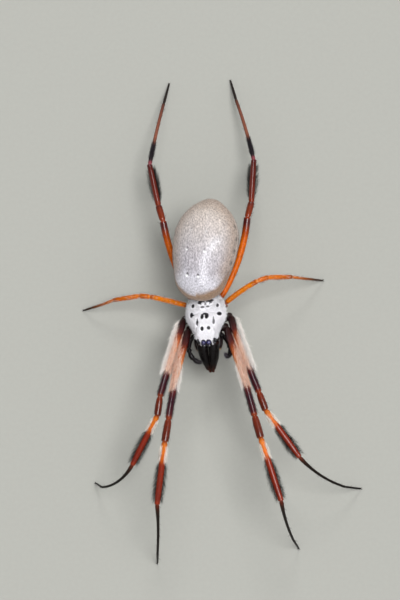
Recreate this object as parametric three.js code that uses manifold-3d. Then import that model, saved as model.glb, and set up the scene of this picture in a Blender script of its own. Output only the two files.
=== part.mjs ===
// A golden orb weaver spider, adult female, as a still life-size model.
// Millimetres, +Z up, the head toward -Y, the spider's own left toward +X, the feet on z = 0.
import * as THREE from 'three';
import { mergeVertices } from 'three/addons/utils/BufferGeometryUtils.js';
import Module from 'manifold-3d';

const wasm = await Module();
wasm.setup();

// ---------------------------------------------------------------- driving dimensions

// moves the middle of the box round the whole spider onto the origin
const CENTRE_SHIFT = new THREE.Vector3(-1.64, 1.21, 0);
// the space left between two pieces that meet
const GAP = 0.04;

// front body: its own origin, the way it heads, and how far the nose points up
const BODY_ORIGIN = new THREE.Vector3(0.81, -2.44, 8.8);
const BODY_HEADING = -87;
const BODY_PITCH = 5;

// carapace: half widths at stations from back to front, and the heights on the midline
const CARAPACE_BACK = -3.9;
const CARAPACE_FRONT = 4.75;
const CARAPACE_WIDTHS = [
  [-3.9, 1.2], [-3.3, 2.1], [-2.4, 2.75], [-1.2, 3.12], [0, 3.16], [0.7, 3.0], [1.5, 2.56],
  [2.1, 2.2], [2.8, 1.92], [3.6, 1.68], [4.2, 1.46], [4.75, 1.12],
];
const CARAPACE_HEIGHTS = [
  [-3.9, 0.55], [-2.6, 1.1], [-1.2, 1.5], [-0.4, 1.42], [0.5, 1.85], [1.8, 2.25], [3.2, 2.05], [4.2, 1.85],
  [4.75, 1.6],
];
// how squarely the shield meets its rim: rounded behind, blunt and steep over the face
const CARAPACE_BLUNTNESS = [[-3.9, 3], [0.5, 3], [1.6, 3.4], [2.8, 7], [4, 11], [4.75, 11]];
const CARAPACE_DEPTH = 0.45;

// sternum, lip and the two mouth lobes beside it
const STERNUM = { back: -2.4, front: 2.3, top: -0.55, bottom: -2.15 };
const STERNUM_WIDTHS = [[-2.4, 0.5], [-1.2, 1.35], [0.2, 1.65], [1.4, 1.5], [2.3, 1.05]];
const LIP = { at: [2.55, 0, -1.75], size: [0.75, 0.5, 0.42] };
const LOBE = { at: [3.35, 1.55, -1.35], size: [1.95, 0.8, 0.66] };

// jaws, fangs and palps
const JAW = { base: [3.75, 0.88, -0.3], length: 5.0, down: 33, inward: 7, radius: 1.0 };
const JAW_SHAPE = [[0, 0.8], [0.15, 1], [0.35, 1.04], [0.6, 0.95], [0.8, 0.68], [0.93, 0.5], [1, 0.45]];
const FANG = { length: 2.0, radius: 0.26, tip: 0.1 };
// the fang folds back under the jaw: how far ahead and below, as parts of its length
const FANG_BEND = [[0, 0], [0.26, 0.1], [0.24, 0.32], [-0.15, 0.44], [-0.6, 0.49]];
const PALP_RADII = [[0, 0.38], [0.12, 0.44], [0.35, 0.4], [0.6, 0.4], [0.85, 0.38], [1, 0.27]];
const PALPS = {
  right: [[2.9, -1.9, -0.9], [3.1, -2.4, -0.6], [3.8, -2.85, -0.45], [5, -3, -0.35], [6.15, -2.65, -0.6],
    [6.88, -1.88, -0.9], [7, -1.2, -1.2]],
  left: [[2.9, 1.9, -0.9], [3.3, 2.6, -0.55], [4.15, 3.15, -0.5], [5.3, 3.45, -0.6], [6.1, 3.4, -0.9],
    [6.3, 2.85, -1.3], [5.75, 2.5, -1.6]],
};

// eyes: two middle pairs in a square, two side pairs on a low swelling
const EYES = {
  upper_middle_eye: { at: [4.5, 0.41, 1.33], radius: 0.34 },
  lower_middle_eye: { at: [4.79, 0.38, 0.66], radius: 0.29 },
  upper_side_eye: { at: [4.06, 1.38, 0.92], radius: 0.22 },
  lower_side_eye: { at: [4.36, 1.24, 0.42], radius: 0.22 },
};

// waist, abdomen and spinnerets
const WAIST = { length: 2.6, radius: 0.42 };
const ABDOMEN = { centre: [1.05, 7.65, 11.7], halfLength: 8.1, heading: 81, pitch: 2 };
const ABDOMEN_WIDTHS = [
  [-1, 4.6], [-0.88, 4.8], [-0.78, 5.0], [-0.5, 4.8], [-0.2, 4.98], [0.1, 5.15], [0.35, 5.25],
  [0.55, 5.1], [0.7, 4.8], [0.82, 4.3], [0.91, 3.7], [1, 3.0],
];
const ABDOMEN_TOP = [[-1, 4.1], [-0.7, 4.6], [-0.2, 4.75], [0.3, 4.7], [0.7, 4.25], [0.9, 3.1], [1, 1.9]];
const ABDOMEN_BOTTOM = [[-1, 3.4], [-0.7, 3.9], [0, 4.1], [0.5, 4.2], [0.8, 3.7], [1, 1.7]];
// the spinnerets stand on a low mound under the tip of the abdomen
const MOUND = { at: [6.75, 0, -2.25], size: [0.95, 0.8, 0.6] };
// a small knob fills the corner between the mound and the abdomen
const TAIL_KNOB = { at: [7.25, 0, -1.55], size: [0.6, 0.44, 0.5] };
const SPINNERETS = { length: 1.25, radius: 0.3, spread: 0.4 };

// legs: first and last point of each coxa piece in the front body's frame
const COXAE = [
  { from: [1.2, 1.1, -1.15], to: [1.9, 3.05, -0.55] },
  { from: [0.2, 1.25, -1.2], to: [0.15, 3.75, -0.65] },
  { from: [-0.85, 1.15, -1.2], to: [-2.15, 3.05, -0.75] },
  { from: [-1.7, 0.8, -1.15], to: [-3.0, 2.2, -0.9] },
];
const COXA_RADII = [[0, 0.55], [0.3, 0.74], [0.62, 0.76], [0.76, 0.64], [0.86, 0.68], [1, 0.55]];

// lengths of femur, patella, tibia, long foot and end foot; the same on both sides
const LEG_LENGTHS = [
  [16.85, 3.6, 10.1, 11.65, 4.15],
  [14.2, 3.0, 8.9, 10.35, 4.3],
  [6.5, 1.9, 4.7, 4.9, 2.7],
  [13.45, 2.65, 7.7, 11.6, 4.7],
];

// headings (0 is +X, 90 is +Y) and pitches above the level, in degrees, first to last of a piece
const POSE = {
  right: [
    { femur: [-99, -94.5, 35, 21], patella: [-98.5, 5.5], tibia: [-101, -21],
      foot: [-94.5, -110.5, -44, -59.5], end: -118.5 },
    { femur: [-102, -102, 30, 18], patella: [-98, 0.5], tibia: [-121, -17.5],
      foot: [-128, -188, -38.5, -54.5], end: -210 },
    { femur: [162.5, 165, -6.5, -18.5], patella: [171, -15.5], tibia: [184.5, -16.5],
      foot: [194, 186.5, -32.5, -35.5], end: 184.5 },
    { femur: [120.5, 99.5, 1.5, 7], patella: [107, -5.5], tibia: [104.5, -17],
      foot: [83.5, 80, -17.5, -22.5], end: 81.5 },
  ],
  left: [
    { femur: [-67, -73.5, 29.5, 15.5], patella: [-74.5, 1], tibia: [-72.5, -3.5],
      foot: [-89, -76, -53, -71], end: -73 },
    { femur: [-69.5, -67, 24.5, 12], patella: [-70, -3], tibia: [-55, -11],
      foot: [-50, -14.5, -36.5, -49.5], end: 0 },
    { femur: [33, 25, 28.5, 14.5], patella: [22, -21.5], tibia: [9, -44.5],
      foot: [-1, 6, -47.5, -56], end: 8.5 },
    { femur: [58, 83.5, -1, 7], patella: [77.5, -14.5], tibia: [89.5, -18.5],
      foot: [103.5, 111, -13, -19.5], end: 107.5 },
  ],
};

// radii out to the tips of the hair, as parts of each piece's length; the brushes swell the tibiae
const RADII = [
  {
    femur: [[0, 0.52], [0.06, 0.66], [0.3, 0.74], [0.6, 0.72], [0.78, 0.56], [0.94, 0.56], [1, 0.5]],
    patella: [[0, 0.48], [0.3, 0.6], [0.8, 0.63], [1, 0.53]],
    tibia: [[0, 0.48], [0.08, 0.8], [0.27, 0.86], [0.34, 0.62], [0.5, 1], [0.85, 1.08], [0.96, 0.6],
      [1, 0.42]],
    foot: [[0, 0.36], [0.05, 0.42], [0.5, 0.34], [1, 0.29]],
  },
  {
    femur: [[0, 0.52], [0.06, 0.66], [0.3, 0.82], [0.6, 0.78], [0.78, 0.56], [0.94, 0.54], [1, 0.48]],
    patella: [[0, 0.46], [0.3, 0.57], [0.8, 0.59], [1, 0.5]],
    tibia: [[0, 0.46], [0.08, 0.85], [0.27, 0.95], [0.34, 0.6], [0.5, 0.9], [0.85, 0.98], [0.96, 0.56],
      [1, 0.4]],
    foot: [[0, 0.36], [0.05, 0.41], [0.5, 0.33], [1, 0.28]],
  },
  {
    femur: [[0, 0.38], [0.1, 0.45], [0.5, 0.46], [0.9, 0.44], [1, 0.38]],
    patella: [[0, 0.38], [0.3, 0.45], [0.8, 0.45], [1, 0.38]],
    tibia: [[0, 0.36], [0.15, 0.43], [0.6, 0.43], [0.9, 0.38], [1, 0.32]],
    foot: [[0, 0.3], [0.1, 0.34], [0.6, 0.29], [1, 0.27]],
  },
  {
    femur: [[0, 0.46], [0.08, 0.54], [0.5, 0.57], [0.8, 0.58], [0.93, 0.6], [1, 0.52]],
    patella: [[0, 0.47], [0.3, 0.55], [0.8, 0.57], [1, 0.5]],
    tibia: [[0, 0.47], [0.12, 0.66], [0.5, 0.9], [0.8, 0.86], [0.95, 0.54], [1, 0.44]],
    foot: [[0, 0.36], [0.08, 0.62], [0.35, 0.66], [0.48, 0.36], [1, 0.3]],
  },
];
// how finely each leg is faceted: sides, and rings along a piece; the thin third pair needs fewest
const LEG_FACETS = [
  { sides: 7, femur: 6, patella: 3, tibia: 7 },
  { sides: 7, femur: 6, patella: 3, tibia: 7 },
  { sides: 6, femur: 4, patella: 3, tibia: 4 },
  { sides: 7, femur: 5, patella: 3, tibia: 6 },
];
const END_RADII = [[0, 0.29], [0.5, 0.28], [1, 0.27]];
// the end foot runs on past the floor by this much before it is cut level
const PAST_FLOOR = 1.2;

// ---------------------------------------------------------------- materials

function finish(hex, roughness) {
  return new THREE.MeshStandardMaterial({ color: hex, roughness, metalness: 0 });
}

const LOOK = {
  carapace: () => finish(0xe4e0e6, 0.8),
  black: () => finish(0x120d0e, 0.25),
  eye: () => finish(0x0a0a1c, 0.05),
  fang: () => finish(0x4a1208, 0.2),
  abdomen: () => finish(0xb9b1ab, 0.7),
  waist: () => finish(0x5a3a30, 0.6),
  coxa: () => finish(0x24100f, 0.3),
  femurFront: () => finish(0xb0614a, 0.6),
  femurBack: () => finish(0xd2640c, 0.35),
  patella: () => finish(0x6e1c10, 0.3),
  tibia: () => finish(0x7a2a12, 0.5),
  foot: () => finish(0x1e150f, 0.45),
};

// ---------------------------------------------------------------- small helpers

const rad = THREE.MathUtils.degToRad;

// value at x of a smooth curve through [x, value] stations
function along(stations, x) {
  const last = stations.length - 1;
  if (x <= stations[0][0]) return stations[0][1];
  if (x >= stations[last][0]) return stations[last][1];
  let i = 0;
  while (x > stations[i + 1][0]) i += 1;
  const slope = (a, b) => (stations[b][1] - stations[a][1]) / (stations[b][0] - stations[a][0]);
  const from = slope(Math.max(i - 1, 0), i + 1);
  const to = slope(i, Math.min(i + 2, last));
  const step = stations[i + 1][0] - stations[i][0];
  const t = (x - stations[i][0]) / step;
  const rise = stations[i + 1][1] - stations[i][1];
  const bend = t * (1 - t) * ((from * step - rise) * (1 - t) - (to * step - rise) * t);
  return stations[i][1] + rise * t + bend;
}

function direction(heading, pitch) {
  const turn = rad(heading);
  const level = Math.cos(rad(pitch));
  return new THREE.Vector3(level * Math.cos(turn), level * Math.sin(turn), Math.sin(rad(pitch)));
}

// a frame from where it stands and where it looks: forward, left and up
function frameAt(origin, heading, pitch) {
  const forward = direction(heading, pitch);
  const left = new THREE.Vector3(0, 0, 1).cross(forward).normalize();
  const up = new THREE.Vector3().crossVectors(forward, left);
  return new THREE.Matrix4().makeBasis(forward, left, up).setPosition(origin);
}

const BODY = frameAt(BODY_ORIGIN, BODY_HEADING, BODY_PITCH);

function onBody(point, side = 1) {
  return new THREE.Vector3(point[0], point[1] * side, point[2]).applyMatrix4(BODY);
}

// moves every vertex of a geometry with a function
function warp(geometry, move) {
  const position = geometry.getAttribute('position');
  const v = new THREE.Vector3();
  for (let i = 0; i < position.count; i += 1) {
    move(v.fromBufferAttribute(position, i));
    position.setXYZ(i, v.x, v.y, v.z);
  }
  return geometry;
}

function solidOf(geometry) {
  const bare = geometry.clone();
  bare.deleteAttribute('normal');
  bare.deleteAttribute('uv');
  const merged = mergeVertices(bare, 1e-4);
  const triVerts = new Uint32Array(merged.index.array);
  const vertProperties = new Float32Array(merged.attributes.position.array);
  return new wasm.Manifold(new wasm.Mesh({ numProp: 3, vertProperties, triVerts }));
}

function geometryOf(solid) {
  const mesh = solid.getMesh();
  const geometry = new THREE.BufferGeometry();
  geometry.setAttribute('position', new THREE.BufferAttribute(mesh.vertProperties, 3));
  geometry.setIndex(new THREE.BufferAttribute(mesh.triVerts, 1));
  geometry.computeVertexNormals();
  return geometry;
}

// the largest piece left after each of the cutters is taken away
function carved(solid, cutters) {
  const rest = cutters.reduce((left, cutter) => left.subtract(cutter), solid);
  const pieces = rest.decompose();
  return pieces.reduce((best, piece) => (piece.volume() > best.volume() ? piece : best), pieces[0]);
}

// ---------------------------------------------------------------- bodies of rotation and cushions

// the centre line of a piece whose heading and pitch change evenly along it
function arcPath(start, length, heading, pitch) {
  const steps = 24;
  const points = [start.clone()];
  for (let i = 0; i < steps; i += 1) {
    const t = (i + 0.5) / steps;
    const h = THREE.MathUtils.lerp(heading[0], heading[1], t);
    const p = THREE.MathUtils.lerp(pitch[0], pitch[1], t);
    points.push(points[i].clone().addScaledVector(direction(h, p), length / steps));
  }
  return points;
}

// a round rod of changing radius laid along a centre line, its ends rounded off
function rod(points, radii, sides, rings, grow = 0) {
  const curve = new THREE.CatmullRomCurve3(points);
  const length = curve.getLength();
  const profile = [new THREE.Vector2(0, -grow)];
  for (let i = 0; i <= rings; i += 1) {
    const t = i / rings;
    const inset = Math.min(1, 0.55 + 6 * Math.min(t, 1 - t));
    profile.push(new THREE.Vector2(along(radii, t) * inset + grow, (length + 2 * grow) * t - grow));
  }
  profile.push(new THREE.Vector2(0, length + grow));
  const shape = new THREE.LatheGeometry(profile, sides);
  return solidOf(warp(shape, (v) => {
    const t = THREE.MathUtils.clamp(v.y / length, 0, 1);
    const forward = curve.getTangentAt(t);
    const left = new THREE.Vector3(0, 0, 1).cross(forward).normalize();
    const up = new THREE.Vector3().crossVectors(forward, left);
    const centre = curve.getPointAt(t).addScaledVector(forward, v.y - t * length);
    v.copy(centre.addScaledVector(left, -v.x).addScaledVector(up, v.z));
  }));
}

// a cushion over a long outline: widths, and functions of the station for its top and bottom heights
// and for how squarely it meets its rim
function cushion(back, front, widths, top, bottom, fineness, grow = 0, bluntness = () => 3) {
  const middle = (front + back) / 2;
  const half = (front - back) / 2 + grow;
  const ball = new THREE.SphereGeometry(1, 2 * fineness, fineness);
  return solidOf(warp(ball, (v) => {
    const [a, b, c] = [v.x, v.z, v.y];
    const station = middle + half * a;
    const share = Math.abs(a) > 0.999 ? 0 : THREE.MathUtils.clamp(b / Math.sqrt(1 - a * a), -1, 1);
    const wide = along(widths, station) + grow;
    const rim = Math.hypot(a, b);
    const dome = Math.pow(Math.max(0, 1 - Math.pow(rim, bluntness(station))), 0.6);
    const rise = c >= 0 ? top(station) + grow : bottom(station) - grow;
    v.set(station, -wide * share, Math.abs(c) < 1e-6 ? 0 : rise * dome);
  }).applyMatrix4(BODY));
}

// an egg: half widths, heights above and depths below its long axis at stations from -1 to 1
function abdomen(grow = 0) {
  const ball = new THREE.SphereGeometry(1, 20, 14);
  const place = frameAt(new THREE.Vector3(...ABDOMEN.centre), ABDOMEN.heading, ABDOMEN.pitch);
  return solidOf(warp(ball, (v) => {
    const station = THREE.MathUtils.clamp(v.y, -1, 1);
    const ring = Math.sqrt(Math.max(0, 1 - station * station));
    const blunt = Math.pow(ring, 0.72);
    const [across, above] = ring < 1e-6 ? [0, 0] : [v.x / ring, v.z / ring];
    const wide = along(ABDOMEN_WIDTHS, station) * blunt + grow;
    const tall = along(above > 0 ? ABDOMEN_TOP : ABDOMEN_BOTTOM, station) * blunt + grow;
    const run = station * (ABDOMEN.halfLength + grow);
    v.set(run, ring < 1e-6 ? 0 : -across * wide, ring < 1e-6 ? 0 : above * tall);
  }).applyMatrix4(place));
}

function ellipsoid(at, size, side = 1, frame = BODY) {
  const ball = new THREE.SphereGeometry(1, 8, 6);
  ball.scale(size[0], size[1], size[2]);
  ball.translate(at[0], at[1] * side, at[2]);
  return solidOf(ball.applyMatrix4(frame));
}

// ---------------------------------------------------------------- building

const spider = new THREE.Group();

function addPiece(name, solid, material) {
  const mesh = new THREE.Mesh(geometryOf(solid), material);
  mesh.name = name;
  mesh.position.copy(CENTRE_SHIFT);
  spider.add(mesh);
}

// carapace, with a socket for each eye
function carapace(grow) {
  const lift = (station) => along(CARAPACE_HEIGHTS, station);
  const blunt = (station) => along(CARAPACE_BLUNTNESS, station);
  const under = () => -CARAPACE_DEPTH;
  return cushion(CARAPACE_BACK, CARAPACE_FRONT, CARAPACE_WIDTHS, lift, under, 12, grow, blunt);
}

const sides = { left: 1, right: -1 };
const eyeSockets = [];
for (const eye of Object.values(EYES)) {
  for (const side of Object.values(sides)) {
    eyeSockets.push(ellipsoid(eye.at, Array(3).fill(eye.radius + GAP), side));
  }
}
const carapaceGrown = carapace(GAP);
addPiece('carapace', carved(carapace(0), eyeSockets), LOOK.carapace());
for (const [name, eye] of Object.entries(EYES)) {
  for (const [sideName, side] of Object.entries(sides)) {
    addPiece(`${name}_${sideName}`, ellipsoid(eye.at, Array(3).fill(eye.radius), side), LOOK.eye());
  }
}

// sternum with the lip and mouth lobes
function sternum(grow) {
  const middle = (STERNUM.top + STERNUM.bottom) / 2;
  const half = (STERNUM.top - STERNUM.bottom) / 2;
  const flat = cushion(STERNUM.back, STERNUM.front, STERNUM_WIDTHS, () => half, () => -half, 6, grow);
  const offset = onBody([0, 0, middle]).sub(onBody([0, 0, 0]));
  const grown = (size) => size.map((s) => s + grow);
  return flat.translate(offset.toArray())
    .add(ellipsoid(LIP.at, grown(LIP.size)))
    .add(ellipsoid(LOBE.at, grown(LOBE.size), 1))
    .add(ellipsoid(LOBE.at, grown(LOBE.size), -1));
}

const sternumGrown = sternum(GAP);

// jaws hang forward and down from under the front of the carapace and end in a folded fang
function jawPath(side) {
  const start = new THREE.Vector3(JAW.base[0], JAW.base[1] * side, JAW.base[2]);
  const run = new THREE.Vector3(
    Math.cos(rad(JAW.down)) * Math.cos(rad(JAW.inward)),
    -Math.sin(rad(JAW.inward)) * side,
    -Math.sin(rad(JAW.down)),
  );
  return [0, 0.33, 0.67, 1].map((t) => {
    const bulge = 0.16 * Math.sin(Math.PI * t);
    const p = start.clone().addScaledVector(run, JAW.length * t);
    return new THREE.Vector3(p.x, p.y, p.z + bulge).applyMatrix4(BODY);
  });
}

function jaw(side, grow) {
  const radii = JAW_SHAPE.map(([t, share]) => [t, share * JAW.radius]);
  return rod(jawPath(side), radii, 8, 6, grow);
}

function fang(side) {
  const points = jawPath(side);
  const out = new THREE.Vector3().subVectors(points[3], points[2]).normalize();
  const left = onBody([0, 1, 0]).sub(onBody([0, 0, 0]));
  const under = new THREE.Vector3().crossVectors(left, out).normalize();
  const start = points[3].clone().addScaledVector(out, -0.15).addScaledVector(under, 0.2);
  const bend = FANG_BEND.map(([ahead, below]) => start.clone()
    .addScaledVector(out, ahead * FANG.length).addScaledVector(under, below * FANG.length));
  return rod(bend, [[0, FANG.radius], [0.5, 0.8 * FANG.radius], [1, FANG.tip]], 6, 7);
}

// all that lies beyond the middle plane from one side, so that left and right pieces stay apart
function beyondMiddle(side) {
  const block = new THREE.BoxGeometry(30, 10, 30).translate(0, side * (GAP / 2 - 5), 0);
  return solidOf(block.applyMatrix4(BODY));
}

const palp = (sideName, grow) => rod(PALPS[sideName].map((p) => onBody(p)), PALP_RADII, 6, 10, grow);
const palpsGrown = [palp('left', GAP), palp('right', GAP)];
const jawsGrown = { left: jaw(1, GAP), right: jaw(-1, GAP) };
addPiece('sternum', carved(sternum(0), [carapaceGrown, jawsGrown.left, jawsGrown.right]), LOOK.black());
for (const [sideName, side] of Object.entries(sides)) {
  const across = beyondMiddle(side);
  const besideJaw = [carapaceGrown, across, ...eyeSockets];
  addPiece(`jaw_${sideName}`, carved(jaw(side, 0), besideJaw), LOOK.black());
  addPiece(`fang_${sideName}`, carved(fang(side), [across, ...Object.values(jawsGrown)]), LOOK.fang());
  const besidePalp = [carapaceGrown, sternumGrown, jawsGrown[sideName]];
  addPiece(`palp_${sideName}`, carved(palp(sideName, 0), besidePalp), LOOK.black());
}

// waist and abdomen
const abdomenGrown = abdomen(GAP);
const waistStart = onBody([CARAPACE_BACK + 0.5, 0, -0.55]);
const waistEnd = waistStart.clone().add(new THREE.Vector3(0.1, WAIST.length, 0.45));
const waistPath = [waistStart, waistStart.clone().lerp(waistEnd, 0.5), waistEnd];
const waist = rod(waistPath, [[0, WAIST.radius], [0.5, 0.85 * WAIST.radius], [1, WAIST.radius]], 8, 3);
addPiece('waist', carved(waist, [carapaceGrown, sternumGrown, abdomenGrown]), LOOK.waist());
addPiece('abdomen', carved(abdomen(0), [carapaceGrown]), LOOK.abdomen());

// two pairs of spinnerets joined by their mound
const abdomenFrame = frameAt(new THREE.Vector3(...ABDOMEN.centre), ABDOMEN.heading, ABDOMEN.pitch);
function spinneret(forward, across, tilt) {
  const root = new THREE.Vector3(MOUND.at[0] + forward, across, MOUND.at[2] - 0.1);
  const run = new THREE.Vector3(tilt, across * 0.4, -0.9);
  const tip = root.clone().addScaledVector(run, SPINNERETS.length);
  const points = [root, root.clone().lerp(tip, 0.5), tip].map((p) => p.applyMatrix4(abdomenFrame));
  const r = SPINNERETS.radius;
  return rod(points, [[0, 1.4 * r], [0.5, r], [1, 0.6 * r]], 5, 2);
}
const spread = SPINNERETS.spread;
const rows = [[-0.4, spread, -0.15], [0.4, spread, 0.5]];
let spinnerets = ellipsoid(MOUND.at, MOUND.size, 1, abdomenFrame)
  .add(ellipsoid(TAIL_KNOB.at, TAIL_KNOB.size, 1, abdomenFrame));
for (const [forward, across, tilt] of rows) {
  spinnerets = spinnerets.add(spinneret(forward, across, tilt)).add(spinneret(forward, -across, tilt));
}
addPiece('spinnerets', carved(spinnerets, [abdomenGrown]), LOOK.coxa());

// the centre line of a leg piece from its row of the pose: straight, or turning evenly
function legPath(start, length, set) {
  if (set.length === 2) return arcPath(start, length, [set[0], set[0]], [set[1], set[1]]);
  return arcPath(start, length, [set[0], set[1]], [set[2], set[3]]);
}

// legs: a coxa, femur, patella, tibia and foot each, cut level where the foot meets the floor
const floorBlock = solidOf(new THREE.BoxGeometry(200, 200, 20).translate(0, 0, -10));
const neighbours = [...palpsGrown];
LEG_LENGTHS.forEach((lengths, index) => {
  for (const [sideName, side] of Object.entries(sides)) {
    const [femurLength, patellaLength, tibiaLength, footLength, endLength] = lengths;
    const pose = POSE[sideName][index];
    const radii = RADII[index];
    const tipOf = (path) => path[path.length - 1];
    const coxa = COXAE[index];
    const coxaStart = onBody(coxa.from, side);
    const coxaEnd = onBody(coxa.to, side);
    const coxaPath = [coxaStart, coxaStart.clone().lerp(coxaEnd, 0.5), coxaEnd];
    const femurPath = legPath(coxaEnd, femurLength, pose.femur);
    const patellaPath = legPath(tipOf(femurPath), patellaLength, pose.patella);
    const tibiaPath = legPath(tipOf(patellaPath), tibiaLength, pose.tibia);
    const footPath = legPath(tipOf(tibiaPath), footLength, pose.foot);
    const down = -THREE.MathUtils.radToDeg(Math.asin(tipOf(footPath).z / endLength));
    const endPath = legPath(tipOf(footPath), endLength + PAST_FLOOR, [pose.end, down]);
    const name = `leg${index + 1}_${sideName}`;
    const facets = LEG_FACETS[index];
    const femur = [femurPath, radii.femur, facets.sides, facets.femur];
    const patella = [patellaPath, radii.patella, facets.sides, facets.patella];
    const tibia = [tibiaPath, radii.tibia, facets.sides, facets.tibia];
    const around = [carapaceGrown, sternumGrown, abdomenGrown, ...neighbours];
    addPiece(`${name}_coxa`, carved(rod(coxaPath, COXA_RADII, 6, 4), around), LOOK.coxa());
    const coxaGrown = rod(coxaPath, COXA_RADII, 6, 4, GAP);
    const femurLook = index < 2 ? LOOK.femurFront() : LOOK.femurBack();
    addPiece(`${name}_femur`, carved(rod(...femur), [coxaGrown, ...around]), femurLook);
    addPiece(`${name}_patella`, carved(rod(...patella), [rod(...femur, GAP)]), LOOK.patella());
    addPiece(`${name}_tibia`, carved(rod(...tibia), [rod(...patella, GAP)]), LOOK.tibia());
    const foot = rod(footPath, radii.foot, 6, 4).add(rod(endPath, END_RADII, 6, 3));
    addPiece(`${name}_foot`, carved(foot, [floorBlock, rod(...tibia, GAP)]), LOOK.foot());
    neighbours.push(coxaGrown, rod(...femur, GAP));
  }
});

export default spider;
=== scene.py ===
# A golden orb weaver spider, adult female, as a still, life-size museum model standing on its feet.
# Sizes are in millimetres until a mesh is made; Blender's own units are metres.
import math

import bpy
import numpy as np
from mathutils import Matrix


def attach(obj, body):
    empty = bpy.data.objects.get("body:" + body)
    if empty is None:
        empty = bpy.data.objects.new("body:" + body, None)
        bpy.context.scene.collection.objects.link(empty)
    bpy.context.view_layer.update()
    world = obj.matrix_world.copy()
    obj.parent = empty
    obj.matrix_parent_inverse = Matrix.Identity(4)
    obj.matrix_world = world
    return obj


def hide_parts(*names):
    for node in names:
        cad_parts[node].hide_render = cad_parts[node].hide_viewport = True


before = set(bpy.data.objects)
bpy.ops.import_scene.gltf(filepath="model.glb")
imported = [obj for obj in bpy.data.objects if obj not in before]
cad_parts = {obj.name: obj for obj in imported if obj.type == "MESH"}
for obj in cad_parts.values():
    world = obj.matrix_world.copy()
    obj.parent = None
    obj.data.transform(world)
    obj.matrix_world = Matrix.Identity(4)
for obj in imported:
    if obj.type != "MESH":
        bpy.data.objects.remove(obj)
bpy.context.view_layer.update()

MM = 0.001
CENTRE_SHIFT = np.array([-1.64, 1.21, 0.0])  # moves the middle of the spider's box onto the origin
Y, Z = np.eye(3)[1:]

# ---------------------------------------------------------------- camera and lamps

TARGET = np.array([0.0, 0.0, 10.0]) + CENTRE_SHIFT
CAMERA_DISTANCE = 450.0
CAMERA_LEAN = math.tan(math.radians(9))  # towards +X, and as much towards -Y
LENS = 173.08  # for a 36 mm long side
LAMP_DISTANCE = 400.0  # where a sun lamp stands; its light is the same from any distance
ROOM_COLOUR = "#e9ecf0"
ROOM_STRENGTH = 0.25


def unit(v):
    """A direction or an array of directions, each of length one."""
    v = np.asarray(v, float)
    return v / np.linalg.norm(v, axis=-1, keepdims=True)


def looking_matrix(place, aim, top):
    """The matrix of a camera or lamp that stands at place and looks at aim."""
    back = unit(place - aim)
    up = unit(top - back * np.dot(top, back))
    right = np.cross(up, back)
    made = Matrix.Identity(4)
    for column, axis in enumerate((right, up, back, place * MM)):
        for row in range(3):
            made[row][column] = axis[row]
    return made


def put(name, data):
    """Puts a new object with this data in the scene."""
    made = bpy.data.objects.new(name, data)
    bpy.context.scene.collection.objects.link(made)
    return made


def make_camera():
    """Looks down from nearly above, leaning a little towards the spider's head and its left side."""
    data = bpy.data.cameras.new("camera")
    data.lens = LENS
    data.sensor_width = 36
    data.clip_start, data.clip_end = 0.02, 5
    camera = put("camera", data)
    place = TARGET + CAMERA_DISTANCE * unit([CAMERA_LEAN, -CAMERA_LEAN, 1])
    camera.matrix_world = looking_matrix(place, TARGET, Y)
    bpy.context.scene.camera = camera


LAMPS = {  # the direction it stands in, its width in degrees, its strength in watts per square metre
    "key_lamp": ([0.36, 0.0, 0.94], 28, 2.45),
    "glint_lamp": ([0.1, 0.72, 0.69], 17, 0.8),
    "front_lamp": ([0.1, -0.65, 0.8], 75, 0.65),
    "left_lamp": ([-1.0, 0.0, 0.9], 75, 0.05),
    "right_lamp": ([1.0, 0.0, 0.9], 75, 0.8),
}


def to_linear(hex_colour):
    """An sRGB hex colour as linear red, green, blue and full alpha."""
    parts = [int(hex_colour[i:i + 2], 16) / 255 for i in (1, 3, 5)]
    return [p / 12.92 if p <= 0.04045 else ((p + 0.055) / 1.055) ** 2.4 for p in parts] + [1.0]


def make_lamps():
    """The lamps, and the even light of the room around them."""
    for name, (towards, width, strength) in LAMPS.items():
        data = bpy.data.lights.new(name, "SUN")
        data.angle = math.radians(width)
        data.energy = strength
        put(name, data).matrix_world = looking_matrix(LAMP_DISTANCE * unit(towards), np.zeros(3), Y)
    world = bpy.data.worlds.new("soft_room")
    world.use_nodes = True
    backdrop = world.node_tree.nodes["Background"]
    backdrop.inputs["Color"].default_value = to_linear(ROOM_COLOUR)
    backdrop.inputs["Strength"].default_value = ROOM_STRENGTH
    bpy.context.scene.world = world
    bpy.context.scene.view_settings.view_transform = "Standard"


make_camera()
make_lamps()

# ---------------------------------------------------------------- materials

PER_MM = 1000.0  # object coordinates are metres, so a feature of s mm has the scale PER_MM / s
SHEEN_ROUGHNESS = 0.4  # of everything that is covered in fine hair


def add(tree, kind, inputs=None, **settings):
    """Adds a node with its settings; each input is a plain value or another node's output."""
    made = tree.nodes.new(kind)
    for name, value in settings.items():
        setattr(made, name, value)
    for name, value in (inputs or {}).items():
        if isinstance(value, bpy.types.NodeSocket):
            tree.links.new(value, made.inputs[name])
        else:
            made.inputs[name].default_value = value
    return made


def new_material(name):
    """A new material and its empty tree."""
    made = bpy.data.materials.new(name)
    made.use_nodes = True
    made.node_tree.nodes.clear()
    return made, made.node_tree


def finish(tree, inputs):
    """Ends a material's tree in one Principled shader with these inputs."""
    shader = add(tree, "ShaderNodeBsdfPrincipled", inputs)
    add(tree, "ShaderNodeOutputMaterial", {"Surface": shader.outputs["BSDF"]})


def object_noise(tree, size_mm, detail=3.0, stretch=(1.0, 1.0, 1.0)):
    """Noise in object coordinates; stretch lengthens its features along X, Y and Z."""
    place = add(tree, "ShaderNodeTexCoord").outputs["Object"]
    scale = [1.0 / s for s in stretch]
    moved = add(tree, "ShaderNodeMapping", {"Vector": place, "Scale": scale}).outputs["Vector"]
    inputs = {"Vector": moved, "Scale": PER_MM / size_mm, "Detail": detail, "Roughness": 0.55}
    return add(tree, "ShaderNodeTexNoise", inputs).outputs["Fac"]


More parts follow.
